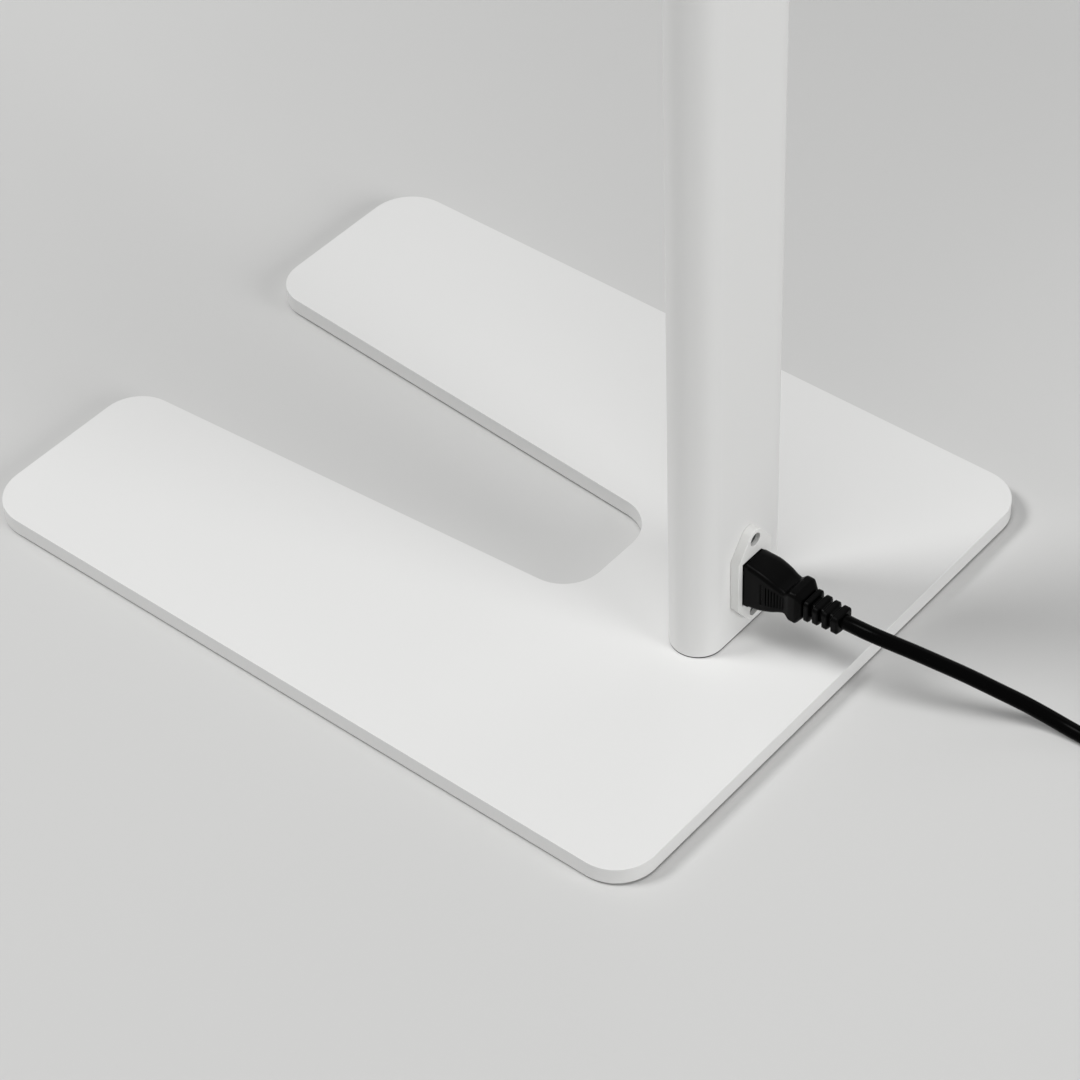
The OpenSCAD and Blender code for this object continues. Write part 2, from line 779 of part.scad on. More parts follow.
// A tube of radius r along a line of points. Where to is given, the first and
// last rings stand square to it.
module tube(line, r, sides, first = [0, 0, 0], last = [0, 0, 0]) {
    skin([for (i = [0 : len(line) - 1])
        let (given = i == 0 ? first : i == len(line) - 1 ? last : [0, 0, 0],
            way = norm(given) > 0 ? given : heading(line, i),
            across = unit(cross(way, [0, 0, 1])),
            up = cross(across, way))
            [for (j = [0 : sides - 1]) let (a = -j * 360 / sides)
                line[i] + r * (cos(a) * across + sin(a) * up)]]);
}

// A rounded rectangle of half sizes a and b, as points, four to a corner, with
// the radius near at +X and far at -X
function rounded_ring(a, b, near, far) = [for (q = [0 : 3], k = [0 : 3])
    let (turn = 90 * q + 30 * k, sx = (q == 0 || q == 3) ? 1 : -1, sy = q < 2 ? 1 : -1,
        r = sx > 0 ? near : far)
        [sx * (a - r) + r * cos(turn), sy * (b - r) + r * sin(turn)]];

// ---- Connector on the lead ----------------------------------------------

conn_y = inlet_front_y + conn_gap;
nose_play = 0.3;
relief_l = 43.6;     // from the connector's shoulder to the end of its strain relief
relief_bend = 24;    // where the strain relief starts to give with the cord
relief_sag = 0.85;   // how far its end gives, down and to -X
slot_play = 0.3;     // round each pin inside the connector
sleeve_t = 0.4;
sleeve_l = 11;
rib_first = 10.7;    // from the shoulder to the first groove between the grip ribs
rib_pitch = 1.33;
rib_w = 0.6;         // width of a groove between ribs
rib_deep = 0.5;
rib_count = 7;

// The moulded body from its shoulder back to the neck and the collar, as rows
// of distance, half thickness, half height and the corner radii to +X and to -X
body_rows = [
    [0, conn_w / 2 - 0.1, conn_h / 2 - 0.35, 1.8, 7],
    [0.6, conn_w / 2, conn_h / 2, 2, 7.2],
    [3.2, conn_w / 2, conn_h / 2 - 0.55, 2.1, 6.4],
    [7.6, conn_w / 2 - 0.1, conn_h / 2 - 1.45, 2.1, 5],
    [12.8, conn_w / 2 - 0.5, conn_h / 2 - 3.35, 2, 4],
    [16, conn_w / 2 - 1, conn_h / 2 - 4.95, 1.8, 3.4],
    [18.2, conn_w / 2 - 1.3, conn_h / 2 - 5.75, 1.8, 3],
    [19.2, conn_w / 2 - 1.3, conn_h / 2 - 5.75, 1.8, 3],
    [21.5, 7.3, 8.2, 2, 2.8],
    [24.4, 7.3, 8.2, 2, 2.8],
    [26.8, 6, 5.1, 2, 2.6],
    [27.3, 4.6, 4.5, 2, 2.4]];

// The grip rings of the strain relief, as start, end, half thickness and half
// height
relief_rings = [[27.6, 30, 5.9, 5.5], [31.7, 34.4, 5.8, 4.7], [36, 38.6, 5.5, 4.7],
    [40.2, relief_l - 0.3, 5.4, 4.5]];

// One grip ring, standing on the core of the strain relief, in the same rows
function ring_rows(ring) = [
    [ring[0] - 0.1, 4.1, 4, 2, 2.4], [ring[0] + 0.3, ring[2], ring[3], 2, 2.4],
    [ring[1], ring[2], ring[3], 2, 2.4], [ring[1] + 0.3, 4, 3.9, 2, 2.4]];

// How far the middle of the strain relief has given at a distance y
function relief_give(y) = relief_sag * pow(max(0, y - relief_bend) / (relief_l - relief_bend), 2);

// x stays x, y points up and z points back from the connector's shoulder
module at_connector() {
    translate([0, conn_y, inlet_z]) mirror([0, 1, 0]) rotate([90, 0, 0]) children();
}

module nose_outline() {
    a = socket_w / 2 - nose_play;
    b = socket_h / 2 - nose_play;
    c = socket_cut;
    polygon([[a, -b], [a, b], [c - a, b], [-a, b - c], [-a, c - b], [c - a, -b]]);
}

// A groove across the flat +X side at a distance y, as deep as rib_deep and
// shorter where the body draws in
module grip_groove(y, w) {
    side = lookup(y, [for (r = body_rows) [r[0], r[1]]]);
    h = 1.1 * lookup(y, [for (r = body_rows) [r[0], r[2]]]);
    translate([side - rib_deep, -h / 2, y - w / 2]) cube([rib_deep + cut, h, w]);
}

module lead_connector() {
    rows = concat(body_rows, [for (ring = relief_rings) each ring_rows(ring)]);
    color(black) at_connector() difference() {
        union() {
            skin([for (r = rows) let (give = relief_give(r[0]))
                [for (p = rounded_ring(r[1], r[2], r[3], r[4])) [p.x - give, p.y - give, r[0]]]]);
            translate([0, 0, -nose_l]) linear_extrude(nose_l + 0.2) nose_outline();
        }
        for (p = pin_places) translate([p.x, p.y, -nose_l - cut])
            pin_slot(0, nose_l - 0.4 + cut);
        for (p = pin_places) translate([p.x, p.y, -nose_l + 1.6])
            pin_slot(sleeve_t, sleeve_l);
        grip_groove(rib_first - 1.7 * rib_pitch, 2 * rib_w);
        for (i = [0 : rib_count - 1]) grip_groove(rib_first + i * rib_pitch, rib_w);
    }
}

// The room for a pin, grown by a wall, from z = 0 to its length
module pin_slot(grow, length) {
    w = pin_w + 2 * (slot_play + grow);
    t = pin_t + 2 * (slot_play + grow);
    translate([-w / 2, -t / 2, 0]) cube([w, t, length]);
}

module lead_contacts() {
    color(brass) at_connector() for (p = pin_places) translate([p.x, p.y, -nose_l + 1.6])
        difference() {
            pin_slot(sleeve_t, sleeve_l);
            translate([0, 0, -cut]) pin_slot(0, sleeve_l + 2 * cut);
        }
}

// ---- Cord, coil and tail ------------------------------------------------

floor_z = cord_d / 2;
coil_x = -86;
coil_y = 306;
coil_lift = 0.6;     // the tie runs under the coil
layer_h = cord_d + 0.5;
coil_in = [coil_x + coil_r, coil_y - cord_d, floor_z + coil_lift];
coil_out = [coil_x + coil_r, coil_y + cord_d, floor_z + coil_lift + layer_h];
tie_t = 0.6;
tie_w = 10;
plug_tilt = 14;     // the plug lies on its rim, with its tail down
plug_rim = 10;       // from the plug's face to the edge it lies on
plug_tip = [-165.3, 280, plug_d / 2 * cos(plug_tilt) - (plug_l - plug_rim) * sin(plug_tilt)];

// From the strain relief down to the floor and to the coil
cord_route = [
    [-relief_sag, conn_y + relief_l, inlet_z - relief_sag],
    [-1.3, 184.7, 41.2],
    [-2.6, 191.2, 40.1],
    [-5.2, 198.4, 38],
    [-9.3, 206.9, 34.5],
    [-14.1, 215.6, 30],
    [-20.9, 226.9, 23.3],
    [-27.2, 238.5, 16.5],
    [-31.6, 247.4, 11.7],
    [-34.9, 256.7, 7.5],
    [-36.8, 266.6, 4.6],
    [-37.6, 277, 3.45],
    [-38, 288, 3.5],
    coil_in];

// From the top of the coil down to the floor, round its back and to the plug
tail_route = [
    coil_out,
    [-39, 324, 10.5],
    [-43, 337, 9],
    [-51, 348.5, 7],
    [-62.5, 357, 5],
    [-76, 361.3, 3.6],
    [-90, 362.6, 3.25],
    [-104, 362.9, 3.25],
    [-118, 362.5, 3.25],
    [-133, 361, 3.25],
    [-147, 357.6, 3.25],
    [-158, 349.3, 3.25],
    [-163.7, 338.5, 3.25],
    [-165.3, 328, 3.25],
    [-165.3, 319, 3.3],
    [-165.3, 310, 3.6],
    [-165.3, 301, 4.5],
    [-165.3, 291, 6],
    plug_tip];

// Middle of the cord in the coil, t turns from its outer end: it spirals in on
// the floor, climbs one layer in the half turn where it reverses, and spirals
// out again on top
function coil_point(t) =
    let (in_turns = coil_turns / 2,
        r = coil_r - coil_pitch * min(t, coil_turns - t),
        climb = min(max((t - in_turns + 0.25) / 0.5, 0), 1),
        z = floor_z + coil_lift + layer_h * climb * climb * (3 - 2 * climb))
        [coil_x + r * cos(360 * t), coil_y + r * sin(360 * t), z];

coil_steps = 24;
coil_line = [for (i = [0 : coil_turns * coil_steps]) coil_point(i / coil_steps)];
coil_path = concat([coil_in], coil_line, [coil_out]);

// Least gap between turns, measured on the path's own points
coil_gap = min([for (i = [0 : len(coil_line) - 1], j = [i + coil_steps / 2 : len(coil_line) - 1])
    norm(coil_line[i] - coil_line[j])]) - cord_d;
echo(least_gap_in_coil = coil_gap);

module lead_cord() {
    color(black) tube(cord_route, cord_d / 2, 10, [0, 1, 0], [0, 1, 0]);
}

module lead_coil() {
    color(black) tube(coil_path, cord_d / 2, 6, [0, 1, 0], [0, 1, 0]);
}

module lead_tail() {
    color(black) tube(tail_route, cord_d / 2, 10, [0, 1, 0],
        [0, -cos(plug_tilt), sin(plug_tilt)]);
}

// A strap round the turns of the coil, on its side towards the lamp
module coil_tie() {
    r_in = coil_r - coil_pitch * coil_turns / 2 - cord_d / 2 - 0.6;
    r_out = coil_r + cord_d / 2 + slip;
    top = coil_lift + cord_d + layer_h + slip;
    color(black) translate([coil_x, coil_y, 0]) rotate([90, 0, 90])
        translate([0, 0, -tie_w / 2]) linear_extrude(tie_w) difference() {
            translate([-r_out - tie_t, 0]) square([r_out - r_in + 2 * tie_t, top + tie_t]);
            translate([-r_out, tie_t]) square([r_out - r_in, top - tie_t]);
        }
}

// ---- Mains plug ---------------------------------------------------------

plug_pin_d = 4.8;
plug_pin_l = 19;
plug_pin_tip = 1.6;  // taper at the end of a pin
pin_root = 6;        // how deep a pin sits in the plug
earth_hole_d = 5;
earth_hole_l = 12;
groove_w = 9;
groove_l = 12;
groove_deep = 2.2;
neck_l = 23;         // from the plug's tail to where it widens
bell_l = 28;         // and to where it has nearly its full width

// z runs from the plug's tail to its face
module at_plug() {
    translate(plug_tip) rotate([90 - plug_tilt, 0, 0]) children();
}

module plug_body() {
    r = plug_d / 2;
    color(black) at_plug() difference() {
        rotate_extrude($fn = 96) polygon([[0, 0], [4.2, 0], [4.6, 3], [4.2, 3.6], [5.2, 7],
            [4.6, 7.6], [5.8, 11], [5.2, 11.6], [6.6, 15], [7.4, 18], [r - 7, neck_l],
            [r - 3.2, bell_l], [r - 2.4, plug_l - plug_rim - 2], [r, plug_l - plug_rim],
            [r, plug_l - 1], [r - 1, plug_l], [0, plug_l]]);
        for (s = [-1, 1]) translate([0, s * (r - groove_deep / 2), plug_l - groove_l / 2])
            cube([groove_w, groove_deep + 0.01, groove_l + cut], center = true);
        for (s = [-1, 1]) translate([s * plug_pitch / 2, 0, plug_l - pin_root])
            cylinder(d = plug_pin_d, h = pin_root + cut);
        translate([0, earth_hole_d, plug_l - earth_hole_l])
            cylinder(d = earth_hole_d, h = earth_hole_l + cut);
    }
}

module plug_pins() {
    straight = pin_root + plug_pin_l - plug_pin_tip;
    color(steel) at_plug() for (s = [-1, 1])
        translate([s * plug_pitch / 2, 0, plug_l - pin_root]) {
            cylinder(d = plug_pin_d, h = straight);
            translate([0, 0, straight])
                cylinder(d1 = plug_pin_d, d2 = plug_pin_d - 2, h = plug_pin_tip);
        }
}

// The two side springs of the earth contact, in the grooves of the plug
module plug_earth() {
    color(steel) at_plug() for (s = [-1, 1])
        translate([0, s * (plug_d / 2 - groove_deep + 0.4), plug_l - groove_l / 2 - 1])
            cube([groove_w - 3, 0.8, groove_l - 2], center = true);
}

base_plate();
base_feet();
post_screws();
earth_fastener();
earth_lug();
post();
inlet_body();
inlet_pins();
inlet_screws();
inlet_wires();
driver();
driver_clips();
post_cable();
dimmer_case();
dimmer_nut();
dimmer_spring();
dimmer_leads();
dimmer_rotor();
dimmer_shaft();
dimmer_knob();
neck_block();
neck_screws();
cable_grommet();
head_terminal();
head_tray();
lower_panel();
led_plate();
led_strips_down();
led_strips_up();
upper_panel();
head_lid();
lid_screws();
lead_connector();
lead_contacts();
lead_cord();
lead_coil();
coil_tie();
lead_tail();
plug_body();
plug_pins();
plug_earth();
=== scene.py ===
"""Office floor lamp: its looks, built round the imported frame. Blender counts in metres, and sizes here are in
millimetres."""

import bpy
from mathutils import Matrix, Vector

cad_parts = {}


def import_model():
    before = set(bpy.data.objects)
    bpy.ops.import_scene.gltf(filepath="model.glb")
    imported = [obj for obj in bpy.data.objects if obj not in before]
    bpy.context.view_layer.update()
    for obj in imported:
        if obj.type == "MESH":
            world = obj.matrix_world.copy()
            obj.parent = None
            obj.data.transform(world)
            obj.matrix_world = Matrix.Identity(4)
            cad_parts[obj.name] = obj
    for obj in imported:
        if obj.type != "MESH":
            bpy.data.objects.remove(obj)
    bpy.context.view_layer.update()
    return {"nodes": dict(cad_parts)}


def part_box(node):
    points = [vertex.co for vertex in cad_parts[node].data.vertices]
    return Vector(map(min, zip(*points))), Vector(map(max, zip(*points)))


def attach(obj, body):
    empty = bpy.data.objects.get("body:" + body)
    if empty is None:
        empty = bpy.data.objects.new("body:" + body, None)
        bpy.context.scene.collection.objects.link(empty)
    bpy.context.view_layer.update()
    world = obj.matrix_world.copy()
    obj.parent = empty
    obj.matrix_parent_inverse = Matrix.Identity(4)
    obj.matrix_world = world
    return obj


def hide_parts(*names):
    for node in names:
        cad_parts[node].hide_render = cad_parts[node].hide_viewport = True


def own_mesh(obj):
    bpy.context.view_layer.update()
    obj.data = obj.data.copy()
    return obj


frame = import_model()

import math

import bmesh
import bpy
from mathutils import Matrix, Vector

MM = 0.001
nodes = frame["nodes"]


def box_mm(name):
    """Lowest and highest corner of a CAD node, in millimetres."""
    low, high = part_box(name)
    return low / MM, high / MM


plate_low, plate_high = box_mm("base_plate")
post_low, post_high = box_mm("post")
inlet_low, inlet_high = box_mm("inlet_body")
tray_low, tray_high = box_mm("head_tray")
inlet_z = (inlet_low.z + inlet_high.z) / 2

# ---- Camera -------------------------------------------------------------
# The photograph's own view: a long lens that looks down on the foot of the lamp from behind its left side.

VIEW_AZIMUTH = 131.38
VIEW_ELEVATION = 43.59
VIEW_ROLL = -2.73
VIEW_DISTANCE = 1403.8
VIEW_TARGET = Vector((5.25, 25.2, 1.5))
VIEW_LENS = 108.86
VIEW_CLIP = (0.05, 60)
SENSOR = 36


def photo_camera():
    a, e, r = (math.radians(x) for x in (VIEW_AZIMUTH, VIEW_ELEVATION, VIEW_ROLL))
    back = Vector((math.sin(a) * math.cos(e), -math.cos(a) * math.cos(e), math.sin(e)))
    level = Vector((0, 0, 1)).cross(back).normalized()
    up = back.cross(level)
    right = level * math.cos(r) + up * math.sin(r)
    above = up * math.cos(r) - level * math.sin(r)
    data = bpy.data.cameras.new("photo_camera")
    data.lens = VIEW_LENS
    data.sensor_width = SENSOR
    data.clip_start, data.clip_end = VIEW_CLIP
    camera = bpy.data.objects.new("photo_camera", data)
    turn = Matrix((right, above, back)).transposed().to_4x4()
    camera.matrix_world = Matrix.Translation((VIEW_TARGET + back * VIEW_DISTANCE) * MM) @ turn
    bpy.context.scene.collection.objects.link(camera)
    bpy.context.scene.camera = camera


photo_camera()

# ---- Materials ----------------------------------------------------------

# The part of the noise's range that is used, the grain's share in it, and how far roughness goes either way
NOISE_RANGE = (0.3, 0.7)
GRAIN_SHARE = 0.3
SHEEN_SPREAD = 0.1


def linear(colour):
    """An sRGB hex colour as linear red, green, blue and alpha."""
    parts = [int(colour[i:i + 2], 16) / 255 for i in (1, 3, 5)]
    return (*[x / 12.92 if x <= 0.04045 else ((x + 0.055) / 1.055) ** 2.4 for x in parts], 1)


def add(tree, kind, inputs=None, **settings):
    """Adds a node. inputs holds socket names with a value to set or an output to link."""
    made = tree.nodes.new(kind)
    for key, value in settings.items():
        setattr(made, key, value)
    for key, value in (inputs or {}).items():
        if isinstance(value, bpy.types.NodeSocket):
            tree.links.new(value, made.inputs[key])
        else:
            made.inputs[key].default_value = value
    return made


def surface(name, colour, roughness, grain, relief, patch, fade, metallic=0.0, gloss=0.5):
    """A finish with relief of that depth on a grain of that size, in mm, and a tone that fades by that share
    over patches of that size."""
    material = bpy.data.materials.new(name)
    material.use_nodes = True
    tree = material.node_tree
    shader = tree.nodes["Principled BSDF"]
    place = add(tree, "ShaderNodeTexCoord").outputs["Object"]
    patches = add(tree, "ShaderNodeTexNoise", {"Vector": place, "Scale": 1 / (patch * MM), "Detail": 3.0})
    grains = add(tree, "ShaderNodeTexNoise", {"Vector": place, "Scale": 1 / (grain * MM), "Detail": 2.0})
    both = add(tree, "ShaderNodeMix",
               {0: GRAIN_SHARE, "A": patches.outputs["Fac"], "B": grains.outputs["Fac"]})
    noise = {"Value": both.outputs[0], "From Min": NOISE_RANGE[0], "From Max": NOISE_RANGE[1]}
    tones = add(tree, "ShaderNodeMapRange", {**noise, "To Min": 1 - fade, "To Max": 1.0})
    shade = add(tree, "ShaderNodeVectorMath", operation="SCALE")
    shade.inputs[0].default_value = linear(colour)[:3]
    tree.links.new(tones.outputs["Result"], shade.inputs["Scale"])
    tree.links.new(shade.outputs["Vector"], shader.inputs["Base Color"])
    sheen = add(tree, "ShaderNodeMapRange", {**noise, "To Min": roughness * (1 - SHEEN_SPREAD),
                                             "To Max": min(1.0, roughness * (1 + SHEEN_SPREAD))})
    tree.links.new(sheen.outputs["Result"], shader.inputs["Roughness"])
    bump = add(tree, "ShaderNodeBump", {"Height": grains.outputs["Fac"], "Distance": relief * MM})
    tree.links.new(bump.outputs["Normal"], shader.inputs["Normal"])
    shader.inputs["Metallic"].default_value = metallic
    shader.inputs["Specular IOR Level"].default_value = gloss
    return material


# Polyester powder coat, sprayed and baked: satin, with a faint orange peel
powder_coat = surface("powder_coat_on_steel", "#e2e2e1", roughness=0.6, grain=1.6, relief=0.012, patch=90,
                      fade=0.012, gloss=0.35)
powder_coat_profile = surface("powder_coat_on_profile", "#e4e4e3", roughness=0.58, grain=1.6, relief=0.012,
                              patch=120, fade=0.012, gloss=0.35)
# Glass-filled polyamide, moulded in a spark-eroded tool: a fine even grain, and glossier than the paint
white_polyamide = surface("moulded_polyamide_white", "#efefed", roughness=0.38, grain=0.5, relief=0.01,
                          patch=15, fade=0.02)
# Soft PVC, moulded over the connector and the plug: nearly black, with a fine grain and dull highlights
black_pvc_moulded = surface("moulded_pvc_black", "#030303", roughness=0.3, grain=0.45, relief=0.015, patch=9,
                            fade=0.25, gloss=0.05)
# Soft PVC, extruded as the cord's sheath: smoother, with a long soft highlight
black_pvc_sheath = surface("extruded_pvc_black", "#030303", roughness=0.22, grain=0.8, relief=0.006, patch=30,
                           fade=0.2, gloss=0.03)
# Woven hook-and-loop strap: dull and fuzzy
black_strap = surface("woven_strap_black", "#1a1a1b", roughness=0.9, grain=0.6, relief=0.15, patch=8,
                      fade=0.3)
# Nitrile rubber pads, pressed: matt, with a trace of bloom
black_rubber = surface("pressed_rubber_black", "#242424", roughness=0.8, grain=0.7, relief=0.04, patch=10,
                       fade=0.3)
# Steel with a bright zinc plate: thin, a little uneven, with a soft shine
zinc_plate = surface("zinc_plated_steel", "#c3c6c9", roughness=0.32, grain=0.4, relief=0.008, patch=4,
                     fade=0.15, metallic=1.0)
# Countersunk screws of the inlet: zinc darkened to a deep grey as painted shade of their recesses, so that they
# read nearly black
recess_shaded_zinc = surface("zinc_with_painted_recess_shade", "#66686a", roughness=0.38, grain=0.4, relief=0.008, patch=4,
                    fade=0.2, metallic=1.0)
# Brass pins under nickel: warm grey, brighter than zinc
nickel_plate = surface("nickel_plated_brass", "#d2cec6", roughness=0.22, grain=0.5, relief=0.003, patch=6,
                       fade=0.08, metallic=1.0)
# Bare stamped brass, slightly tarnished
stamped_brass = surface("stamped_brass", "#c9a45c", roughness=0.35, grain=0.6, relief=0.006, patch=5,
                        fade=0.25, metallic=1.0)
# Mill-finish aluminium: even, with a fine rolled grain
rolled_aluminium = surface("rolled_aluminium", "#c9cbcc", roughness=0.4, grain=0.5, relief=0.006, patch=30,
                           fade=0.08, metallic=1.0)
# Opal acrylic sheet with a satin face: milky, no sparkle
opal_acrylic = surface("opal_acrylic", "#ececea", roughness=0.6, grain=0.9, relief=0.004, patch=60,
                       fade=0.015)
# Polycarbonate housing of the driver, moulded: pale grey and even
pale_housing = surface("moulded_polycarbonate_pale", "#d9d9d5", roughness=0.45, grain=0.5, relief=0.012,
                       patch=12, fade=0.04)
# Polyamide clips and terminal block, moulded: black, with a fine matt grain
black_housing = surface("moulded_polyamide_black", "#26282a", roughness=0.5, grain=0.5, relief=0.015,
                        patch=12, fade=0.2)
# Phenolic dimmer body, pressed: dull green, a little grainy
green_phenolic = surface("pressed_phenolic_green", "#3c5a46", roughness=0.55, grain=0.4, relief=0.02, patch=6,
                         fade=0.2)
# Glass-fibre circuit board under white solder resist: warm white, smooth
white_board = surface("circuit_board_white", "#ece8d6", roughness=0.4, grain=0.5, relief=0.006, patch=10,
                      fade=0.05)
# Grey PVC sheath of the cable in the post, extruded: smooth and half matt
grey_sheath = surface("extruded_pvc_grey", "#cfcfca", roughness=0.5, grain=0.8, relief=0.012, patch=30,
                      fade=0.05)
# Insulation of the thin wires, extruded: plain brown
brown_wire = surface("wire_insulation_brown", "#7a4a2c", roughness=0.45, grain=0.5, relief=0.006, patch=10,
                     fade=0.1)
# Matt paint, rolled on a floor: even, with almost no shine
floor_paint = surface("painted_floor", "#cfcfce", roughness=0.8, grain=3, relief=0.01, patch=900, fade=0.01,
                      gloss=0.1)

# ---- Making meshes ------------------------------------------------------

# Points nearer than this, in metres, are one point; a point on a turning axis stands this far off it, in mm
MERGE_DISTANCE = 1e-6
AXIS_RADIUS = 0.001


def new_object(name, data):
    obj = bpy.data.objects.new(name, data)
    bpy.context.scene.collection.objects.link(obj)
    return obj


def mesh_of(name, points, faces):
    """A mesh from points in millimetres."""
    mesh = bpy.data.meshes.new(name)
    mesh.from_pydata([Vector(p) * MM for p in points], [], faces)
    work = bmesh.new()
    work.from_mesh(mesh)
    bmesh.ops.remove_doubles(work, verts=work.verts, dist=MERGE_DISTANCE)
    bmesh.ops.recalc_face_normals(work, faces=work.faces)
    work.to_mesh(mesh)
    work.free()
    return mesh


def bands(count, pairs):
    """Faces between pairs of rings that have count points each."""
    return [[a * count + j, a * count + (j + 1) % count, b * count + (j + 1) % count, b * count + j]
            for a, b in pairs for j in range(count)]


def skin(name, rings):
    """A closed mesh through rings of points that all have the same count."""
    count = len(rings[0])
    points = [p for ring in rings for p in ring]
    faces = bands(count, [(i, i + 1) for i in range(len(rings) - 1)])
    faces += [list(range(count))[::-1], list(range(len(points) - count, len(points)))]
    return mesh_of(name, points, faces)


def closed_round(name, rings):
    """A closed mesh through rings that run round a hole: the last ring joins the first."""
    total = len(rings)
    return mesh_of(name, [p for ring in rings for p in ring],
                   bands(len(rings[0]), [(i, (i + 1) % total) for i in range(total)]))


def block(name, low, high):
    """A plain block, as a tool for cutting."""
    x, y, z = ((low[i], high[i]) for i in range(3))
    rings = [[(x[0], y[0], k), (x[1], y[0], k), (x[1], y[1], k), (x[0], y[1], k)] for k in z]
    return new_object(name, skin(name, rings))


def lathe(name, profile, steps):
    """A turned solid about Z, from rows of radius and height."""
    rings = [[(max(r, AXIS_RADIUS) * math.cos(2 * math.pi * k / steps),
               max(r, AXIS_RADIUS) * math.sin(2 * math.pi * k / steps), z) for k in range(steps)]
             for r, z in profile]
    return new_object(name, skin(name, rings))


def rounded_ring(a, b, near, far, steps=8):
    """A rounded rectangle of half sizes a and b in its own plane, with radius near at +x and far at -x."""
    ring = []
    for quarter in range(4):
        sx = 1 if quarter in (0, 3) else -1
        sy = 1 if quarter < 2 else -1
        r = near if sx > 0 else far
        for k in range(steps + 1):
            turn = math.radians(90 * quarter + 90 * k / steps)
            ring.append((sx * (a - r) + r * math.cos(turn), sy * (b - r) + r * math.sin(turn)))
    return ring


def on_spline(a, b, c, d, t):
    """The value at t, from 0 at b to 1 at c, of a smooth line through a, b, c and d."""
    return 0.5 * (2 * b + (c - a) * t + (2 * a - 5 * b + 4 * c - d) * t * t
                  + (3 * b - a - 3 * c + d) * t ** 3)


def flowing(points, start, end, steps=6):
    """A smooth line through points, with the points before and after it that set its end directions."""
    line = [Vector(p) for p in [start, *points, end]]
    return [*[on_spline(a, b, c, d, k / steps) for a, b, c, d in zip(line, line[1:], line[2:], line[3:])
              for k in range(steps)], line[-2]]


def flowing_rows(rows, steps):
    """Rows of numbers filled in with a smooth line through each column."""
    first = [2 * a - b for a, b in zip(rows[0], rows[1])]
    last = [2 * a - b for a, b in zip(rows[-1], rows[-2])]
    line = [first, *rows, last]
    return [*[[on_spline(*values, k / steps) for values in zip(*four)]
              for four in zip(line, line[1:], line[2:], line[3:]) for k in range(steps)], list(rows[-1])]


def tube(name, line, diameter):
    """A round cord along a line of points, as a curve with closed ends."""
    data = bpy.data.curves.new(name, "CURVE")
    data.dimensions = "3D"
    data.bevel_depth = diameter / 2 * MM
    data.bevel_resolution = 6
    data.use_fill_caps = True
    spline = data.splines.new("POLY")
    spline.points.add(len(line) - 1)
    for point, place in zip(spline.points, line):
        point.co = (*(place * MM), 1)
    return new_object(name, data)


# ---- Changing and placing pieces ----------------------------------------

# Faces that meet at less than this, in degrees, are one flat face
FLAT_ANGLE = 0.2
# A point within this of a height lies at that height
LEVEL_TOLERANCE = 0.01


def settled(obj):
    """The object's modifiers made plain in its mesh."""
    graph = bpy.context.evaluated_depsgraph_get()
    graph.update()
    mesh = bpy.data.meshes.new_from_object(obj.evaluated_get(graph))
    obj.modifiers.clear()
    obj.data = mesh
    return obj


def placed(obj, matrix):
    """The object with its mesh moved, so that it stays at the origin itself."""
    obj.data.transform(matrix)
    obj.data.update()
    return obj


def carve(obj, tools, operation="DIFFERENCE"):
    """Cuts each tool from the object, or joins it on, and removes the tool."""
    for tool in tools:
        cut = obj.modifiers.new("cut", "BOOLEAN")
        cut.operation = operation
        cut.object = tool
        cut.solver = "EXACT"
    settled(obj)
    for tool in tools:
        bpy.data.objects.remove(tool)
    return obj


def at_heights(*heights):
    """A test for points, in millimetres, that lie at one of these heights."""
    return lambda point: min(abs(point.z - z) for z in heights) < LEVEL_TOLERANCE


def soften(mesh, width, steps=3, sharp=40, only=lambda point: True):
    """Rounds the mesh's edges that are sharper than that, in degrees, where both ends pass the test."""
    work = bmesh.new()
    work.from_mesh(mesh)
    bmesh.ops.remove_doubles(work, verts=work.verts, dist=MERGE_DISTANCE)
    bmesh.ops.dissolve_limit(work, angle_limit=math.radians(FLAT_ANGLE), verts=work.verts, edges=work.edges)
    edges = [e for e in work.edges if len(e.link_faces) == 2
             and e.calc_face_angle(0) > math.radians(sharp)
             and all(only(v.co / MM) for v in e.verts)]
    bmesh.ops.bevel(work, geom=edges, offset=width * MM, segments=steps, profile=0.5,
                    affect="EDGES", clamp_overlap=True)
    work.to_mesh(mesh)
    work.free()
    return mesh


def softened_copy(node, name, width, **how):
    """A copy of a CAD node with its edges rounded."""
    return new_object(name, soften(nodes[node].data.copy(), width, **how))


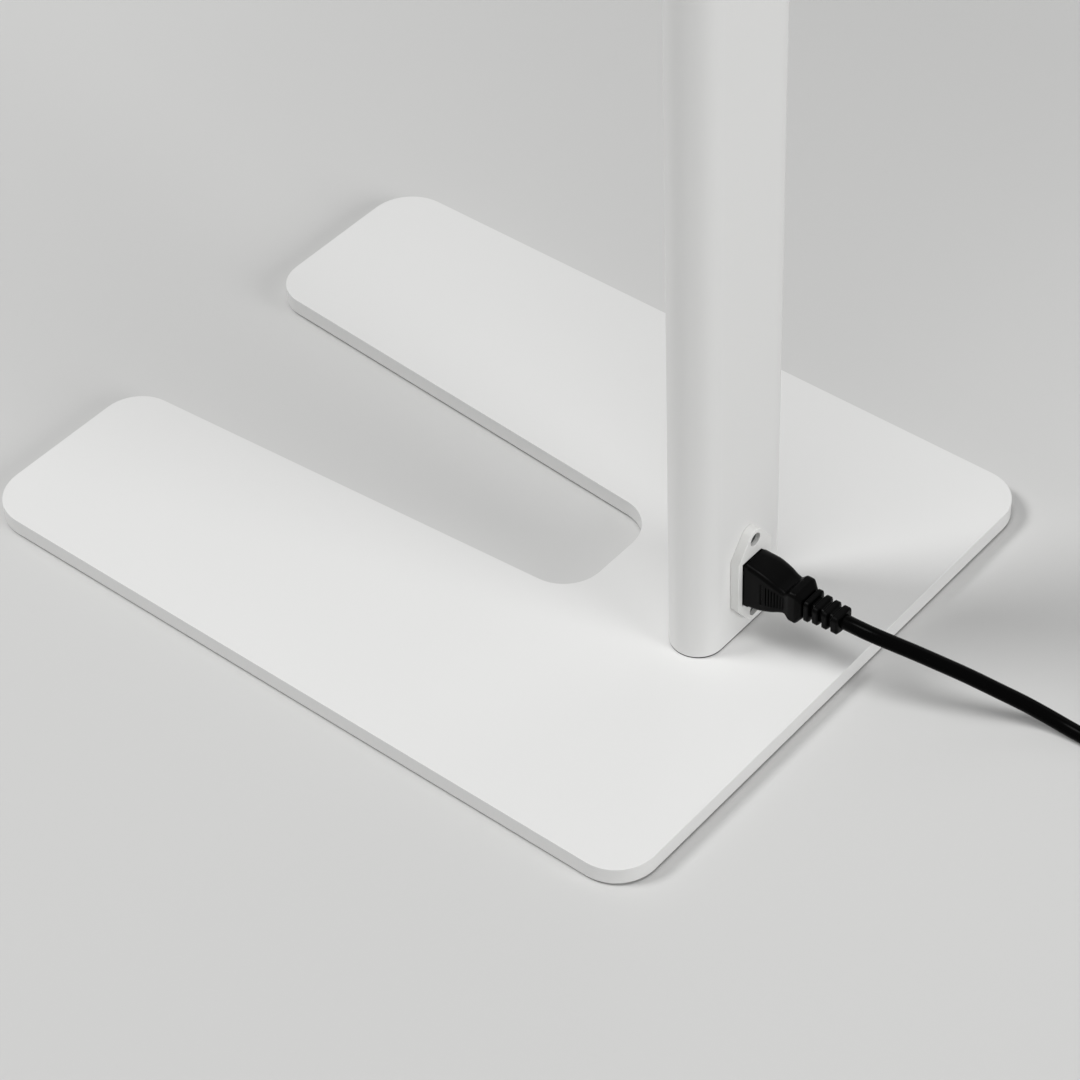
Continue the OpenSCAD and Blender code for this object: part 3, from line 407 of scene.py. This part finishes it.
def repeated(name, part, material, layout, sizes, shrink_each=0.0):
    """Copies of a part on a grid or a line, made by Geometry Nodes. The part is removed."""
    tree = bpy.data.node_groups.new(name + "_rows", "GeometryNodeTree")
    kinds = {int: "NodeSocketInt", float: "NodeSocketFloat", tuple: "NodeSocketVector"}
    values = {**sizes, "Shrink Each": float(shrink_each)}
    keys = {}
    for label, value in values.items():
        socket = tree.interface.new_socket(label, in_out="INPUT", socket_type=kinds[type(value)])
        keys[label] = socket.identifier
    tree.interface.new_socket("Geometry", in_out="OUTPUT", socket_type="NodeSocketGeometry")
    given = add(tree, "NodeGroupInput").outputs
    points = add(tree, layout, {label: given[label] for label in sizes})
    index = add(tree, "GeometryNodeInputIndex").outputs[0]
    less = add(tree, "ShaderNodeMath", {0: index, 1: given["Shrink Each"]}, operation="MULTIPLY")
    scale = add(tree, "ShaderNodeMath", {0: 1.0, 1: less.outputs[0]}, operation="SUBTRACT")
    source = add(tree, "GeometryNodeObjectInfo", {"Object": part})
    copies = add(tree, "GeometryNodeInstanceOnPoints",
                 {"Points": points.outputs["Mesh"], "Instance": source.outputs["Geometry"],
                  "Scale": scale.outputs[0]})
    real = add(tree, "GeometryNodeRealizeInstances", {"Geometry": copies.outputs["Instances"]})
    painted = add(tree, "GeometryNodeSetMaterial",
                  {"Geometry": real.outputs["Geometry"], "Material": material})
    add(tree, "NodeGroupOutput", {"Geometry": painted.outputs["Geometry"]})
    host = new_object(name, bpy.data.meshes.new(name))
    rows = host.modifiers.new("rows", "NODES")
    rows.node_group = tree
    for label, value in values.items():
        rows[keys[label]] = value
    settled(host)
    bpy.data.objects.remove(part)
    return host


def shown(obj, material, body, slot, *stands_for, sharp=32, flats=False):
    """Gives a finished piece its material and its place in the frame. Edges sharper than that, in degrees,
    are shaded sharp. With flats, large flat faces are shaded flat up to their rounded edges."""
    obj.data.materials.clear()
    obj.data.materials.append(material)
    if obj.type == "MESH":
        for face in obj.data.polygons:
            face.use_smooth = True
        obj.data.set_sharp_from_angle(angle=math.radians(sharp))
    if flats:
        weigh = obj.modifiers.new("flats", "WEIGHTED_NORMAL")
        weigh.keep_sharp = True
        weigh.weight = 100
        settled(obj)
    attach(obj, body)
    if stands_for:
        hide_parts(*stands_for)
    return obj


# ---- Cord ---------------------------------------------------------------
# One cord, from the connector's strain relief over the floor to a tied coil behind the lamp, and on to its
# plug.

CORD_DIAMETER = 6.5
BEFORE_CORD = (-0.45, 174.9, 41.95)
CORD_ROUTE = [(-0.85, 179.9, 41.55), (-1.3, 184.7, 41.2), (-2.6, 191.2, 40.1), (-5.2, 198.4, 38),
              (-9.3, 206.9, 34.5), (-14.1, 215.6, 30), (-20.9, 226.9, 23.3), (-27.2, 238.5, 16.5),
              (-31.6, 247.4, 11.7), (-34.9, 256.7, 7.5), (-36.8, 266.6, 4.6), (-37.6, 277, 3.45),
              (-38, 288, 3.5), (-38.5, 299.5, 3.85)]
TAIL_ROUTE = [(-38.5, 312.5, 10.85), (-39, 324, 10.5), (-43, 337, 9), (-51, 348.5, 7), (-62.5, 357, 5),
              (-76, 361.3, 3.6), (-90, 362.6, 3.25), (-104, 362.9, 3.25), (-118, 362.5, 3.25),
              (-133, 361, 3.25), (-147, 357.6, 3.25), (-158, 349.3, 3.25), (-163.7, 338.5, 3.25),
              (-165.3, 328, 3.25), (-165.3, 319, 3.3), (-165.3, 310, 3.6), (-165.3, 301, 4.5),
              (-165.3, 291, 6)]
COIL_CENTRE = (-86, 306)
COIL_RADIUS = 47.5
COIL_PITCH = 7.1
COIL_TURNS = 6
COIL_LOW = 3.85
LAYER_HEIGHT = 7
CLIMB_TURN = 0.5
STEPS_PER_TURN = 36
PLUG_TILT = math.radians(14)
PLUG_RADIUS = 18.5
PLUG_LENGTH = 50
PLUG_RIM = 10
# Where the cord enters the plug, which lies tilted on the edge of its rim
PLUG_TAIL = Vector((-165.3, 280,
                    PLUG_RADIUS * math.cos(PLUG_TILT) - (PLUG_LENGTH - PLUG_RIM) * math.sin(PLUG_TILT)))


def coil_point(turn):
    """Middle of the cord: in on the floor, up one layer in the half turn where it reverses, and out."""
    radius = COIL_RADIUS - COIL_PITCH * min(turn, COIL_TURNS - turn)
    climb = min(max((turn - COIL_TURNS / 2 + CLIMB_TURN / 2) / CLIMB_TURN, 0), 1)
    a = 2 * math.pi * turn
    return Vector((COIL_CENTRE[0] + radius * math.cos(a), COIL_CENTRE[1] + radius * math.sin(a),
                   COIL_LOW + LAYER_HEIGHT * climb * climb * (3 - 2 * climb)))


def cord_line():
    coil = [coil_point(i / STEPS_PER_TURN) for i in range(COIL_TURNS * STEPS_PER_TURN + 1)]
    down = flowing(CORD_ROUTE, BEFORE_CORD, coil[0])
    out = flowing([*TAIL_ROUTE, PLUG_TAIL], coil[-1], PLUG_TAIL - 2 * (Vector(TAIL_ROUTE[-1]) - PLUG_TAIL))
    return [*down, *coil, *out]


cord = tube("cord", cord_line(), CORD_DIAMETER)
shown(cord, black_pvc_sheath, "mains_lead", "black_pvc", "lead_cord", "lead_coil", "lead_tail")

# ---- Connector ----------------------------------------------------------

# Rows of the moulding: distance behind the shoulder, half thickness, half height, corner radii to +X and -X
FRONT_ROWS = [(0, 7.75, 11.25, 1.6, 6.7), (0.2, 8.05, 11.65, 1.9, 7.1)]
BODY_ROWS = [(0.6, 8.2, 11.95, 2, 7.2), (3.2, 8.2, 11.4, 2.1, 6.4), (7.6, 8.1, 10.5, 2.1, 5),
             (12.8, 7.7, 8.6, 2, 4), (16, 7.2, 7.0, 1.8, 3.4), (18.2, 6.9, 6.2, 1.8, 3)]
COLLAR_ROWS = [(19, 6.88, 6.2, 1.8, 2.9), (19.5, 6.92, 6.4, 1.8, 2.8), (20.8, 7.18, 7.6, 1.9, 2.8),
               (21.3, 7.28, 8.05, 2, 2.8), (21.8, 7.3, 8.2, 2, 2.8), (24.1, 7.3, 8.2, 2, 2.8),
               (24.6, 7.18, 7.95, 2, 2.8), (25.1, 6.9, 7.4, 2, 2.7), (26.5, 6.15, 5.5, 2, 2.6),
               (26.9, 5.8, 5.1, 2, 2.5), (27.2, 4.6, 4.5, 2, 2.4)]
BODY_STEPS = 4
# The relief's rings: start, end, half thickness and half height
RELIEF_RINGS = [(27.6, 30, 5.9, 5.5), (31.7, 34.4, 5.8, 4.7), (36, 38.6, 5.5, 4.7), (40.2, 43.3, 5.4, 4.5)]
# Half sizes of the relief's core before and behind a ring, and corner radii on the ring's faces and its top
CORE_BEFORE = (4.1, 4)
CORE_BEHIND = (4, 3.9)
FACE_RADII = (1.8, 2.2)
TOP_RADII = (2, 2.4)
RELIEF_END = 43.6
RELIEF_BEND = 24
RELIEF_SAG = 0.85
SHOULDER_GAP = 0.4
SHOULDER_Y = inlet_high.y + SHOULDER_GAP
NOSE_HALF = (8.1, 11.25)
NOSE_CORNER = 4.6
NOSE_LENGTH = 16
NOSE_ROOT = 2
NOSE_EDGE = 0.4
PIN_PLACES = [(2, 7), (2, -7), (-2, 0)]
PIN_SLOT = (4.6, 2.6)
# The room of a contact sleeve: how much wider than the slot, and where it starts and ends behind the tip
SLEEVE_PLAY = 0.8
SLEEVE_ROOM = (1.6, 12.6)
# Fine upright grooves in the connector's flat side, with grip ribs left between them, and a wide one ahead
GROOVE_COUNT = 7
GROOVE_STEP = 1.33
GROOVE_FIRST = 10.7
GROOVE_WIDTH = 0.6
GROOVE_DEPTH = 0.5
GROOVE_HALF = 5.1
GROOVE_LIP = 0.15
GROOVE_REACH = 0.6
GROOVE_TAPER = 0.5
GROOVE_TIP = 0.2
GROOVE_SHRINK = 0.055
GROOVE_SIDE = 7.86
SIDE_SLOPE = 0.12
WIDE_GROOVE_WIDTH = 2 * GROOVE_WIDTH
WIDE_GROOVE_HALF = GROOVE_HALF + 0.5
WIDE_GROOVE_AHEAD = 1.7 * GROOVE_STEP
WIDE_GROOVE_SIDE = 8.06


def relief_ring(start, end, a, b):
    """Rows of one grip ring of the strain relief, with soft edges, standing on the core."""
    return [(start - 0.1, *CORE_BEFORE, *TOP_RADII), (start + 0.05, a - 0.55, b - 0.55, *FACE_RADII),
            (start + 0.45, a, b, *TOP_RADII), (end - 0.4, a, b, *TOP_RADII),
            (end + 0.05, a - 0.45, b - 0.45, *FACE_RADII), (end + 0.3, *CORE_BEHIND, *TOP_RADII)]


def relief_give(y):
    """How far the strain relief has given, down and to -X, at that distance behind the shoulder."""
    return RELIEF_SAG * (max(0, y - RELIEF_BEND) / (RELIEF_END - RELIEF_BEND)) ** 2


def pin_pockets(name, play, start, end):
    """Tools for three pockets between those places along Y, wider than a pin's slot by play."""
    w, t = (size + play for size in PIN_SLOT)
    return [block(name, (x - w / 2, start, inlet_z + z - t / 2), (x + w / 2, end, inlet_z + z + t / 2))
            for x, z in PIN_PLACES]


def connector_moulding():
    """The moulding with its shoulder, collar and relief, and the nose that goes into the inlet."""
    rows = [*FRONT_ROWS, *flowing_rows(BODY_ROWS, BODY_STEPS), *COLLAR_ROWS]
    for ring in RELIEF_RINGS:
        rows += relief_ring(*ring)
    rings = [[(x - relief_give(y), SHOULDER_Y + y, inlet_z + z - relief_give(y))
              for x, z in rounded_ring(a, b, near, far)] for y, a, b, near, far in rows]
    body = new_object("connector_moulding", skin("connector_moulding", rings))
    a, b, c = *NOSE_HALF, NOSE_CORNER
    outline = [(a, -b), (a, b), (c - a, b), (-a, b - c), (-a, c - b), (c - a, -b)]
    nose_rings = [[(x, SHOULDER_Y + y, inlet_z + z) for x, z in outline] for y in (-NOSE_LENGTH, NOSE_ROOT)]
    nose = new_object("nose", soften(skin("nose", nose_rings), NOSE_EDGE, sharp=30))
    carve(body, [nose], "UNION")
    tip = SHOULDER_Y - NOSE_LENGTH
    tools = pin_pockets("slot", 0, tip - 1, SHOULDER_Y - SHOULDER_GAP)
    tools += pin_pockets("sleeve_room", SLEEVE_PLAY, tip + SLEEVE_ROOM[0], tip + SLEEVE_ROOM[1])
    return carve(body, tools)


def groove_cutter(width, half):
    """A tool for one upright groove in the +X side, with its ends drawn in."""
    outline = [(-width / 2, GROOVE_REACH), (-width / 2, -GROOVE_LIP), (-width / 5, -GROOVE_DEPTH),
               (width / 5, -GROOVE_DEPTH), (width / 2, -GROOVE_LIP), (width / 2, GROOVE_REACH)]
    rings = [[(x if x > 0 else x * k, y, z) for y, x in outline] for z, k in
             ((-half, GROOVE_TIP), (-half + GROOVE_TAPER, 1), (half - GROOVE_TAPER, 1), (half, GROOVE_TIP))]
    return new_object("groove_cutter", skin("groove_cutter", rings))


def grooved(body):
    """The connector with its row of grooves, each a little shorter than the one before it, and a wide one."""
    step = (-SIDE_SLOPE * GROOVE_STEP * MM, GROOVE_STEP * MM, 0.0)
    row = repeated("groove_row", groove_cutter(GROOVE_WIDTH, GROOVE_HALF), black_pvc_moulded,
                   "GeometryNodeMeshLine", {"Count": GROOVE_COUNT, "Offset": step}, shrink_each=GROOVE_SHRINK)
    placed(row, Matrix.Translation(Vector((GROOVE_SIDE, SHOULDER_Y + GROOVE_FIRST, inlet_z)) * MM))
    wide = groove_cutter(WIDE_GROOVE_WIDTH, WIDE_GROOVE_HALF)
    wide_y = SHOULDER_Y + GROOVE_FIRST - WIDE_GROOVE_AHEAD
    placed(wide, Matrix.Translation(Vector((WIDE_GROOVE_SIDE, wide_y, inlet_z)) * MM))
    return carve(body, [row, wide])


connector = shown(grooved(connector_moulding()), black_pvc_moulded, "mains_lead", "black_pvc",
                  "lead_connector", flats=True)

# ---- Strap and plug -----------------------------------------------------

STRAP_THICKNESS = 0.5
# Its rows round the coil: which side, how far in from it, how far in from the outside, and corner radius
STRAP_ROWS = [(0, 0, 0.15, 2.6), (0, 0.4, 0, 2.6), (1, -0.4, 0, 2.6), (1, 0, 0.15, 2.6),
              (1, 0, STRAP_THICKNESS, 2.2), (0, 0, STRAP_THICKNESS, 2.2)]


def strap_loop():
    """The tie: a strap round the coil's turns, with its outer edges broken."""
    low, high = box_mm("coil_tie")
    mid_y, mid_z = (low.y + high.y) / 2, (low.z + high.z) / 2
    half_y, half_z = (high.y - low.y) / 2, (high.z - low.z) / 2
    rings = [[((low.x, high.x)[side] + along, mid_y + y, mid_z + z)
              for y, z in rounded_ring(half_y - inset, half_z - inset, radius, radius)]
             for side, along, inset, radius in STRAP_ROWS]
    return new_object("coil_strap", closed_round("coil_strap", rings))


strap = shown(strap_loop(), black_strap, "mains_lead", "black_pvc", "coil_tie")

# Rows of radius and height above the cord's entry
PLUG_PROFILE = [(0, 0), (4.1, 0), (4.3, 0.4), (4.6, 3), (4.1, 3.3), (4.1, 3.9), (5.1, 4.3), (5.2, 7),
                (4.6, 7.3), (4.6, 7.9), (5.6, 8.3), (5.8, 11), (5.2, 11.3), (5.2, 11.9), (6.2, 12.3),
                (6.8, 15.5), (8, 19), (10.2, 22.4), (12.6, 25.4), (14.6, 28.5), (15.7, 32), (16.1, 36),
                (16.1, 37.6), (16.5, 38.3), (18.1, 39.6), (18.5, 40.3), (18.5, 48.6), (18.2, 49.5),
                (17.5, 50), (0, 50)]
PLUG_STEPS = 96
PLUG_PLACE = Matrix.Translation(PLUG_TAIL * MM) @ Matrix.Rotation(math.radians(90) - PLUG_TILT, 4, "X")
PIN_PROFILE = [(0, 44), (2.4, 44), (2.4, 66.4), (2.2, 67.4), (1.7, 68.4), (1.1, 68.9), (0, 69)]
PIN_PITCH = 19
PIN_HOLE = (2.4, 44)
EARTH_HOLE = (2.5, 38)
EARTH_HOLE_Y = 5
# The side grooves of the earth contacts: half width, distance from the axis, half depth and lowest height
EARTH_GROOVE = (4.5, 17.4, 1.1, 37.5)
CUT_TOP = PLUG_LENGTH + 1
ROUND_STEPS = 32


def plug_hole(name, radius, bottom, x, y):
    """A tool for a round hole in the plug's face."""
    tool = lathe(name, [(radius, bottom), (radius, CUT_TOP)], ROUND_STEPS)
    return placed(tool, Matrix.Translation((x * MM, y * MM, 0)))


def plug_moulding():
    body = lathe("plug_moulding", PLUG_PROFILE, PLUG_STEPS)
    half, out, depth, bottom = EARTH_GROOVE
    tools = [block("groove", (-half, s * out - depth, bottom), (half, s * out + depth, CUT_TOP))
             for s in (-1, 1)]
    tools += [plug_hole("pin_hole", *PIN_HOLE, s * PIN_PITCH / 2, 0) for s in (-1, 1)]
    tools.append(plug_hole("earth_hole", *EARTH_HOLE, 0, EARTH_HOLE_Y))
    return placed(carve(body, tools), PLUG_PLACE)


plug = shown(plug_moulding(), black_pvc_moulded, "mains_lead", "black_pvc", "plug_body", sharp=25)


def plug_pin_pair():
    pair = repeated("plug_pin_pair", lathe("pin", PIN_PROFILE, ROUND_STEPS), nickel_plate,
                    "GeometryNodeMeshLine", {"Count": 2, "Offset": (PIN_PITCH * MM, 0.0, 0.0)})
    return placed(pair, PLUG_PLACE @ Matrix.Translation((-PIN_PITCH / 2 * MM, 0, 0)))


pins = shown(plug_pin_pair(), nickel_plate, "mains_lead", "nickel", "plug_pins")

# ---- Base ---------------------------------------------------------------

PLATE_EDGE = 0.8
# Distance between the outer pads' middles, across and along, and a pad's height and broken edge
PAD_SPAN = (236, 305)
PAD_HEIGHT = 2
PAD_EDGE = 0.4
PAD_STEPS = 48

plate = softened_copy("base_plate", "base_slab", PLATE_EDGE, sharp=60,
                      only=at_heights(plate_low.z, plate_high.z))
shown(plate, powder_coat, "lamp", "base_white", "base_plate", sharp=35, flats=True)


def foot_pads():
    low, high = box_mm("base_feet")
    radius = (high.x - low.x - PAD_SPAN[0]) / 2
    profile = [(0, 0), (radius - PAD_EDGE, 0), (radius, PAD_EDGE), (radius, PAD_HEIGHT), (0, PAD_HEIGHT)]
    grid = {"Size X": PAD_SPAN[0] * MM, "Size Y": PAD_SPAN[1] * MM, "Vertices X": 2, "Vertices Y": 3}
    return repeated("foot_pads", lathe("pad", profile, PAD_STEPS), black_rubber, "GeometryNodeMeshGrid", grid)


shown(foot_pads(), black_rubber, "lamp", "black_rubber", "base_feet")

# ---- Post, inlet and screws ---------------------------------------------

PROFILE_EDGE = 0.2
JOINT_GAP = 0.7
GASKET_INSET = 0.2
GASKET_WIDTH = 1.1
GASKET_STEPS = 16


def post_profile():
    """The profile with its edges broken, standing a gasket's thickness above the plate."""
    mesh = nodes["post"].data.copy()
    at_foot = at_heights(post_low.z)
    for vertex in mesh.vertices:
        if at_foot(vertex.co / MM):
            vertex.co.z = (post_low.z + JOINT_GAP) * MM
    at_ends = at_heights(post_low.z + JOINT_GAP, post_high.z)
    return new_object("post_profile", soften(mesh, PROFILE_EDGE, sharp=60, only=at_ends))


shown(post_profile(), powder_coat_profile, "lamp", "body_white", "post", sharp=35, flats=True)


def post_gasket():
    """The thin dark gasket under the profile's wall, set back from its face."""
    mid_y = (post_low.y + post_high.y) / 2
    rings = []
    for inset, z in ((0, 0), (0, 1), (GASKET_WIDTH, 1), (GASKET_WIDTH, 0)):
        half_x, half_y = (edge - GASKET_INSET - inset for edge in (post_high.x, post_high.y - mid_y))
        rings.append([(x, mid_y + y, post_low.z + z * JOINT_GAP)
                      for x, y in rounded_ring(half_x, half_y, half_y, half_y, steps=GASKET_STEPS)])
    return new_object("post_gasket", closed_round("post_gasket", rings))


shown(post_gasket(), black_rubber, "lamp", "black_rubber")

inlet = softened_copy("inlet_body", "inlet_moulding", width=0.5, sharp=50)
shown(inlet, white_polyamide, "lamp", "moulded_white", "inlet_body", sharp=35, flats=True)

inlet_screws = softened_copy("inlet_screws", "inlet_screw_pair", width=0.12, steps=2, sharp=50)
# The inlet screws take the zinc that is darkened as painted shade of their recesses
shown(inlet_screws, recess_shaded_zinc, "lamp", "zinc_steel", "inlet_screws", flats=True)

post_screws = softened_copy("post_screws", "post_screw_pair", width=0.25, steps=2, sharp=50)
shown(post_screws, zinc_plate, "lamp", "zinc_steel", "post_screws", flats=True)

# ---- Dimmer -------------------------------------------------------------

KNOB_FLUTES = 24
FLUTE_STEPS = 8
FLUTE_DEPTH = 0.6
# Rows of the knob, from its face round its skirt into its bore: radius, depth behind the face, flutes' share
KNOB_ROWS = [(0, 0, 0), (9.6, 0, 0), (10.9, 0.25, 0), (11.6, 0.9, 0.3), (12, 1.6, 1), (12, 11.2, 1),
             (12, 12, 0), (12, 12.7, 0), (11.7, 13, 0), (10, 13, 0), (10, 7.7, 0), (3.2, 7.7, 0),
             (3.0, 7.5, 0), (3.0, 2, 0), (0, 2, 0)]
# The mark in its face: half width, depth, and where it starts and ends above the middle
MARK_HALF = 0.45
MARK_DEPTH = 0.7
MARK_REACH = (3.5, 10)


def knob_body():
    """Turned cap with rounded finger flutes and a groove that shows how far it is turned."""
    low, high = box_mm("dimmer_knob")
    mid_z = (low.z + high.z) / 2
    steps = KNOB_FLUTES * FLUTE_STEPS
    rings = []
    for radius, depth, flute in KNOB_ROWS:
        ring = []
        for k in range(steps):
            a = 2 * math.pi * k / steps
            dip = flute * FLUTE_DEPTH * (0.5 + 0.5 * math.cos(KNOB_FLUTES * a))
            r = max(radius - dip, AXIS_RADIUS)
            ring.append((r * math.cos(a), low.y + depth, mid_z + r * math.sin(a)))
        rings.append(ring)
    body = new_object("dimmer_cap", skin("dimmer_cap", rings))
    mark = block("mark", (-MARK_HALF, low.y - 1, mid_z + MARK_REACH[0]),
                 (MARK_HALF, low.y + MARK_DEPTH, mid_z + MARK_REACH[1]))
    return carve(body, [mark])


shown(knob_body(), white_polyamide, "dimmer_button", "moulded_white", "dimmer_knob", sharp=40)


def return_spring():
    """The dimmer's spring, which the shaft presses together when the knob is pushed."""
    spring = new_object("return_spring", nodes["dimmer_spring"].data.copy())
    shown(spring, zinc_plate, "lamp", "zinc_steel", "dimmer_spring")
    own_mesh(spring)


return_spring()

# ---- Head ---------------------------------------------------------------

tray = softened_copy("head_tray", "head_shell", width=1.0, sharp=60, only=at_heights(tray_low.z, tray_high.z))
shown(tray, powder_coat_profile, "lamp", "body_white", "head_tray", sharp=35, flats=True)

lid = softened_copy("head_lid", "head_cover", width=0.3, steps=2, sharp=60)
shown(lid, powder_coat_profile, "lamp", "body_white", "head_lid", sharp=50, flats=True)

lid_screws = softened_copy("lid_screws", "cover_screws", width=0.1, steps=2, sharp=50)
shown(lid_screws, zinc_plate, "lamp", "zinc_steel", "lid_screws", flats=True)

for node, name in (("lower_panel", "lower_diffuser"), ("upper_panel", "upper_diffuser")):
    panel = softened_copy(node, name, width=0.4, steps=2, sharp=60)
    shown(panel, opal_acrylic, "lamp", "diffuser", node, sharp=50, flats=True)

# ---- What stays as it is in the frame -----------------------------------

CARRIED_OVER = {
    "earth_fastener": zinc_plate, "earth_lug": zinc_plate, "neck_screws": zinc_plate,
    "dimmer_nut": zinc_plate, "dimmer_shaft": zinc_plate, "neck_block": rolled_aluminium,
    "inlet_pins": nickel_plate, "plug_earth": nickel_plate, "lead_contacts": stamped_brass,
    "inlet_wires": brown_wire, "dimmer_leads": brown_wire, "post_cable": grey_sheath, "driver": pale_housing,
    "driver_clips": black_housing, "head_terminal": black_housing, "dimmer_case": green_phenolic,
    "dimmer_rotor": green_phenolic, "cable_grommet": black_rubber, "led_plate": rolled_aluminium,
    "led_strips_down": white_board, "led_strips_up": white_board,
}
for name, material in CARRIED_OVER.items():
    nodes[name].data.materials.clear()
    nodes[name].data.materials.append(material)

# ---- Floor and light ----------------------------------------------------

BACKDROP_COLOUR = "#d4d4d3"
WORLD_LEVEL = 0.11
FLOOR_RADIUS = 14000
FLOOR_STEPS = 96
SUN_DISTANCE = 5


def floor():
    """A plain round floor under the lamp, which reaches past every view's horizon."""
    turns = [2 * math.pi * k / FLOOR_STEPS for k in range(FLOOR_STEPS)]
    ring = [Vector((FLOOR_RADIUS * math.cos(a), FLOOR_RADIUS * math.sin(a), 0)) * MM for a in turns]
    mesh = bpy.data.meshes.new("floor")
    mesh.from_pydata(ring, [], [list(range(FLOOR_STEPS))])
    mesh.materials.append(floor_paint)
    new_object("floor", mesh)


def world():
    """A faint even light from all round, which the camera and mirrored rays see as a pale backdrop."""
    sky = bpy.data.worlds.new("studio")
    bpy.context.scene.world = sky
    sky.use_nodes = True
    tree = sky.node_tree
    tree.nodes.clear()
    path = add(tree, "ShaderNodeLightPath")
    seen = add(tree, "ShaderNodeMath", {0: path.outputs["Is Camera Ray"], 1: path.outputs["Is Glossy Ray"]},
               operation="MAXIMUM")
    light = add(tree, "ShaderNodeBackground", {"Color": (1, 1, 1, 1), "Strength": WORLD_LEVEL})
    backdrop = add(tree, "ShaderNodeBackground", {"Color": linear(BACKDROP_COLOUR), "Strength": 1.0})
    mix = add(tree, "ShaderNodeMixShader", {"Fac": seen.outputs[0]})
    tree.links.new(light.outputs[0], mix.inputs[1])
    tree.links.new(backdrop.outputs[0], mix.inputs[2])
    add(tree, "ShaderNodeOutputWorld", {"Surface": mix.outputs[0]})


def soft_sun(name, azimuth, elevation, level, spread, glare=True, passes=()):
    """A large far light: its compass angle from +X, its height and its spread in degrees. On a surface that
    faces it, level adds as much light as a world of that strength. Without glare it shows in no reflection.
    The pieces that it passes cast no shadow."""
    a, e = math.radians(azimuth), math.radians(elevation)
    data = bpy.data.lights.new(name, "SUN")
    data.energy, data.angle = level * math.pi, math.radians(spread)
    obj = new_object(name, data)
    towards = Vector((math.cos(a) * math.cos(e), math.sin(a) * math.cos(e), math.sin(e)))
    obj.location = towards * SUN_DISTANCE
    obj.rotation_euler = towards.to_track_quat("Z", "Y").to_euler()
    obj.visible_glossy = glare
    if passes:
        blockers = bpy.data.collections.new(name + "_passes")
        obj.light_linking.blocker_collection = blockers
        for piece in passes:
            blockers.objects.link(piece)
        for member in blockers.collection_objects:
            member.light_linking.link_state = "EXCLUDE"


floor()
world()
soft_sun("key", azimuth=-50, elevation=50, level=0.48, spread=18)
soft_sun("top", azimuth=15, elevation=76, level=0.34, spread=20)
# This low light would draw the shadows of the coil and the plug into the photograph's view, and put glare on
# the plate and the head as they are seen from the front
soft_sun("rear_fill", azimuth=92, elevation=20, level=0.49, spread=28, glare=False,
         passes=[cord, strap, plug, pins])
soft_sun("side_fill", azimuth=184, elevation=38, level=0.05, spread=40)

bpy.context.scene.view_settings.view_transform = "Standard"
